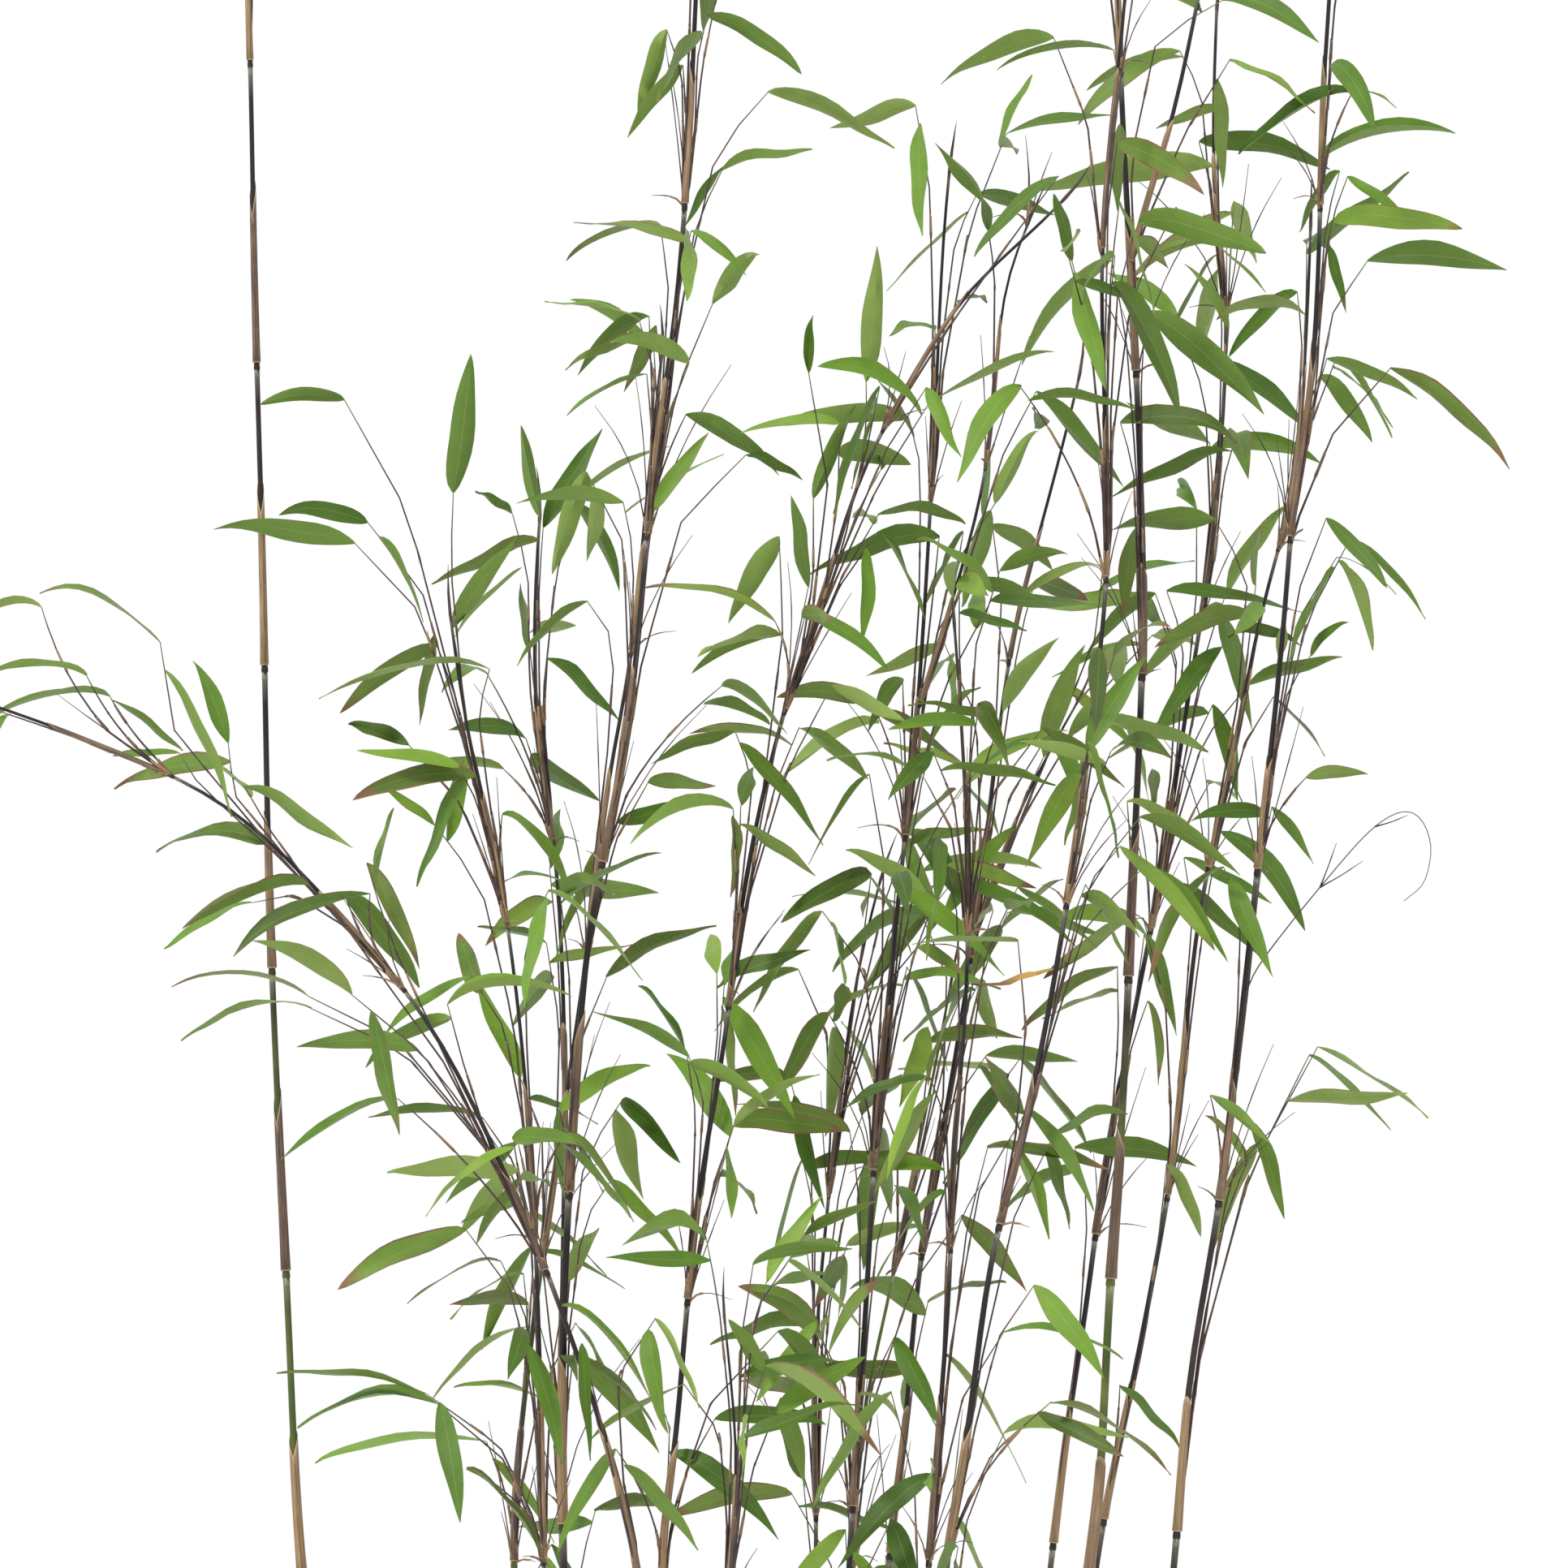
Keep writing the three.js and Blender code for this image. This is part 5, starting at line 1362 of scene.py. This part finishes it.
relief = add_node(rhizome_material, "ShaderNodeBump",
                  {"Height": height, "Strength": 0.6, "Distance": 0.8 * MM})
plug(shader, {"Base Color": body, "Normal": relief, "Roughness": 0.8})

leaf_scars = []
for i in range(RHIZOME_RINGS):
    low = RINGS_FROM + RINGS_SPAN * (i + RING_SHIFT * math.sin(RING_TURN * i)) / RHIZOME_RINGS
    leaf_scars += [(low + rise, size, dark) for rise, size, dark in RING_STEP]
ring_profile = ROD_FOOT + [(z, size) for z, size, _ in leaf_scars] + ROD_END
rod = turn_master(ROD_SIDES, ring_profile, closed=True)
ring_values = np.interp(rod[0][:, 2], [z for z, _, _ in leaf_scars], [dark for _, _, dark in leaf_scars])


def over_core(angle, reach):
    """A place over the core, at a share of the way from its middle to its rim."""
    return (CORE_CENTRE[0] + math.cos(angle) * CORE_SIZE[0] * reach,
            CORE_CENTRE[1] + math.sin(angle) * CORE_SIZE[1] * reach)


def on_core(x, y):
    """The height of the core's surface over a place, or its rim's outside it."""
    out = ((x - CORE_CENTRE[0]) / CORE_SIZE[0]) ** 2 + ((y - CORE_CENTRE[1]) / CORE_SIZE[1]) ** 2
    return CORE_CENTRE[2] + CORE_SIZE[2] * math.sqrt(max(0.0, 1 - out))


horns = Batch("ring", "tone")


def lay_horn(line, radii, tone):
    """Lays one ringed rod of rhizome wood along its line."""
    lay_rod(horns, rod, np.array(line), radii, ROD_SIDE, ring=ring_values, tone=tone)


draw = make_draw(SEED * RHIZOME_DRAWS)
feet = [culm["stems"][0].line[0] * (1, 1, 0) for culm in CULMS]
for culm, foot in zip(CULMS, feet):
    radius = culm["radii"][0]
    top = at_height(culm["stems"][0].line, CROWN_HEIGHT)
    line = [foot - UP * BASE_LINE[0], foot + UP * BASE_LINE[1], (foot + top) / 2 + UP * BASE_LINE[0], top]
    wide = BASE_RADIUS + radius * BASE_SWELL
    lay_horn(line, (wide * BASE_FOOT, radius + BASE_SWELL), between(draw, *BASE_TONE))
for i in range(RHIZOME_COUNT):
    x, y = over_core(i * GOLDEN_ANGLE, math.sqrt((i + 0.5) / RHIZOME_COUNT) * RHIZOME_SPREAD)
    way = heading(draw() * 2 * math.pi, 0)
    half, radius = between(draw, *RHIZOME_LENGTH) / 2, between(draw, *RHIZOME_RADIUS)
    line = []
    for share in (-1.0, -0.5, 0.0, 0.5, 1.0):
        px, py = x + way[0] * half * share, y + way[1] * half * share
        bow = radius * (RHIZOME_RISE - RHIZOME_BOW * share**2)
        line.append(np.array([px, py, on_core(px, py) + bow - RHIZOME_SUNK]))
    if line[0][2] < radius * FLOOR_NEAR or line[-1][2] < radius * FLOOR_NEAR:
        line = [point + UP * radius * FLOOR_LIFT for point in line]
    lay_horn(line, (radius, radius * between(draw, *RHIZOME_TAPER)), draw())
for i in range(STUB_COUNT):
    x, y = over_core(draw() * 2 * math.pi, between(draw, *STUB_PLACE))
    foot = np.array([x, y, on_core(x, y) - STUB_SUNK])
    top = foot + [between(draw, *span) for span in (STUB_LEAN, STUB_LEAN, STUB_RISE)]
    top[2] = min(top[2], CROWN_HEIGHT + STUB_PROUD)
    lay_horn([foot, (foot + top) / 2, top], (between(draw, *STUB_RADIUS), STUB_TOP), draw())
rhizomes = horns.make("rhizome_crown_rhizomes", rhizome_material, smooth_angle=40)
trim_flat(rhizomes)
hand_in(rhizomes, "rhizome_crown")


# Roots.
# A ring of stout roots feeds the clump, and wiry feeding roots come out all round the lump and from the culm
# bases. Washed clean, they hang to the floor in loose waves.
ROOT_DRAWS, FIBRE_DRAWS = 3000, 3200
ROOT_COUNT, ROOT_LENGTH, ROOT_RADII = 20, (55, 120), (3.2, 1.0)
ROOT_RING, ROOT_HEIGHT, ROOT_TIP, ROOT_ELBOW = (185.6, 83.2), (14, 30), 1.6, 0.55
ROOT_SHIFT, ROOT_TURN = 0.6, (-0.4, 0.4)
FIBRE_COUNT, FIBRE_LENGTH, FIBRE_RADII = 420, (30, 95), (0.8, 0.28)
FIBRE_TURN, FIBRE_SPREAD, FIBRE_ELBOW, ELBOW_LIFT = (-0.5, 0.5), (0.4, 0.8), (0.2, 0.45), (-6, 5)
# One fine root in four comes out beside a culm's foot, and the others out of the core's rim.
FOOT_SHARE, FOOT_SIDE, FOOT_HEIGHT = 4, 9, (12, 40)
FIBRE_RIM, RIM_HEIGHT, RIM_SUNK = (0.86, 0.98), 8, 3
# A fine root that ends over the core rests on it, and any other near the floor.
ROOT_CLEAR, LOW_ENDS = 2, (1.0, 3.0)
ROOT_WAVE, ROOT_TURNS, ROOT_POINTS = 3.0, (1.0, 2.6), 13
LIFT_WAVE, LIFT_TURNS = 0.4, 5
LOWEST_ROOT = 1.0
STOUT_SIDES, STOUT_ROWS, STOUT_KNOBS = 6, 13, 0.07
FINE_SIDES, FINE_ROWS = 3, 8

# A washed root is matt and wiry. It gives the eye tan threads with brown stretches about 8 mm long.
ROOT_STRETCH = 8.33

root_material, shader = new_material("wiry_root")
place = add_node(root_material, "ShaderNodeTexCoord", out="Object")
mottle = add_node(root_material, "ShaderNodeTexNoise",
                  {"Vector": place, "Scale": per_metre(ROOT_STRETCH), "Detail": 3.0})
body = add_node(root_material, "ShaderNodeValToRGB", {"Fac": mottle},
                stops=[(0.3, "#54402c"), (0.55, "#8a6b48"), (0.8, "#b99c70")])
plug(shader, {"Base Color": body, "Roughness": 0.85})


def root_line(draw, start, elbow, end):
    """A root's bend with loose waves that grow toward its end."""
    side = unit(np.cross(end - start, UP))
    turns, phase = between(draw, *ROOT_TURNS), draw() * ALL_ROUND
    line = []
    for t in np.linspace(0, 1, ROOT_POINTS):
        point = bend(start, elbow, end, t)
        point = point + side * (ROOT_WAVE * t * math.sin(2 * math.pi * turns * t + phase))
        point = point + UP * (LIFT_WAVE * ROOT_WAVE * t * math.sin(LIFT_TURNS * turns * t + phase))
        line.append(np.array([point[0], point[1], max(point[2], LOWEST_ROOT)]))
    return np.array(line)


# A stout root is slightly knobbly, and a fine one even.
stout_rings = [(i / STOUT_ROWS, 1 + STOUT_KNOBS * (i % 2)) for i in range(STOUT_ROWS + 1)]
stout = turn_master(STOUT_SIDES, stout_rings, closed=True)
fine = turn_master(FINE_SIDES, [(i / FINE_ROWS, 1.0) for i in range(FINE_ROWS + 1)], closed=True)
roots = Batch()
place_draw = make_draw(SEED * ROOT_DRAWS)
draw = make_draw(SEED * FIBRE_DRAWS)
for i in range(ROOT_COUNT):
    angle = 2 * math.pi * (i + ROOT_SHIFT * place_draw()) / ROOT_COUNT
    start = np.array([CORE_CENTRE[0] + math.cos(angle) * ROOT_RING[0], math.sin(angle) * ROOT_RING[1],
                      between(place_draw, *ROOT_HEIGHT)])
    out = heading(angle + between(place_draw, *ROOT_TURN), 0)
    length = between(place_draw, *ROOT_LENGTH)
    elbow, end = start + out * (length * ROOT_ELBOW), start + out * length
    end[2] = ROOT_TIP
    lay_rod(roots, stout, root_line(draw, start, elbow, end), ROOT_RADII, ROD_SIDE)
for i in range(FIBRE_COUNT):
    angle = 2 * math.pi * (i + draw()) / FIBRE_COUNT
    out = heading(angle + between(draw, *FIBRE_TURN), 0)
    length = between(draw, *FIBRE_LENGTH)
    if i % FOOT_SHARE == 0:
        foot = feet[int(draw() * len(feet))]
        start = foot + out * FOOT_SIDE + UP * between(draw, *FOOT_HEIGHT)
    else:
        x, y = over_core(2 * math.pi * i / FIBRE_COUNT, between(draw, *FIBRE_RIM))
        top = max(RIM_HEIGHT + 1, on_core(x, y) - RIM_SUNK)
        start = np.array([x, y, between(draw, RIM_HEIGHT, top)])
    end = start + out * (length * between(draw, *FIBRE_SPREAD))
    surface = on_core(end[0], end[1])
    on_top = surface > CORE_CENTRE[2] + ROOT_CLEAR
    end[2] = surface + ROOT_CLEAR if on_top else between(draw, *LOW_ENDS)
    elbow = start + out * (length * between(draw, *FIBRE_ELBOW)) + UP * between(draw, *ELBOW_LIFT)
    lay_rod(roots, fine, root_line(draw, start, elbow, end), FIBRE_RADII, ROD_SIDE)
hand_in(roots.make("rhizome_crown_roots", root_material, smooth_angle=60), "rhizome_crown")


# Floor.
# A plain pale disc under the clump, wide enough for its shadow.
FLOOR_RADIUS, FLOOR_PLACE = 1.5, (0, 0, -1 * MM)

start_clean()
bpy.ops.mesh.primitive_circle_add(vertices=96, radius=FLOOR_RADIUS, fill_type="NGON", location=FLOOR_PLACE)
bpy.ops.object.transform_apply()
floor = bpy.context.object
floor.name = "floor"
floor_material, shader = new_material("pale_floor")
plug(shader, {"Base Color": linear("#f2f1ee"), "Roughness": 0.8})
floor.data.materials.append(floor_material)
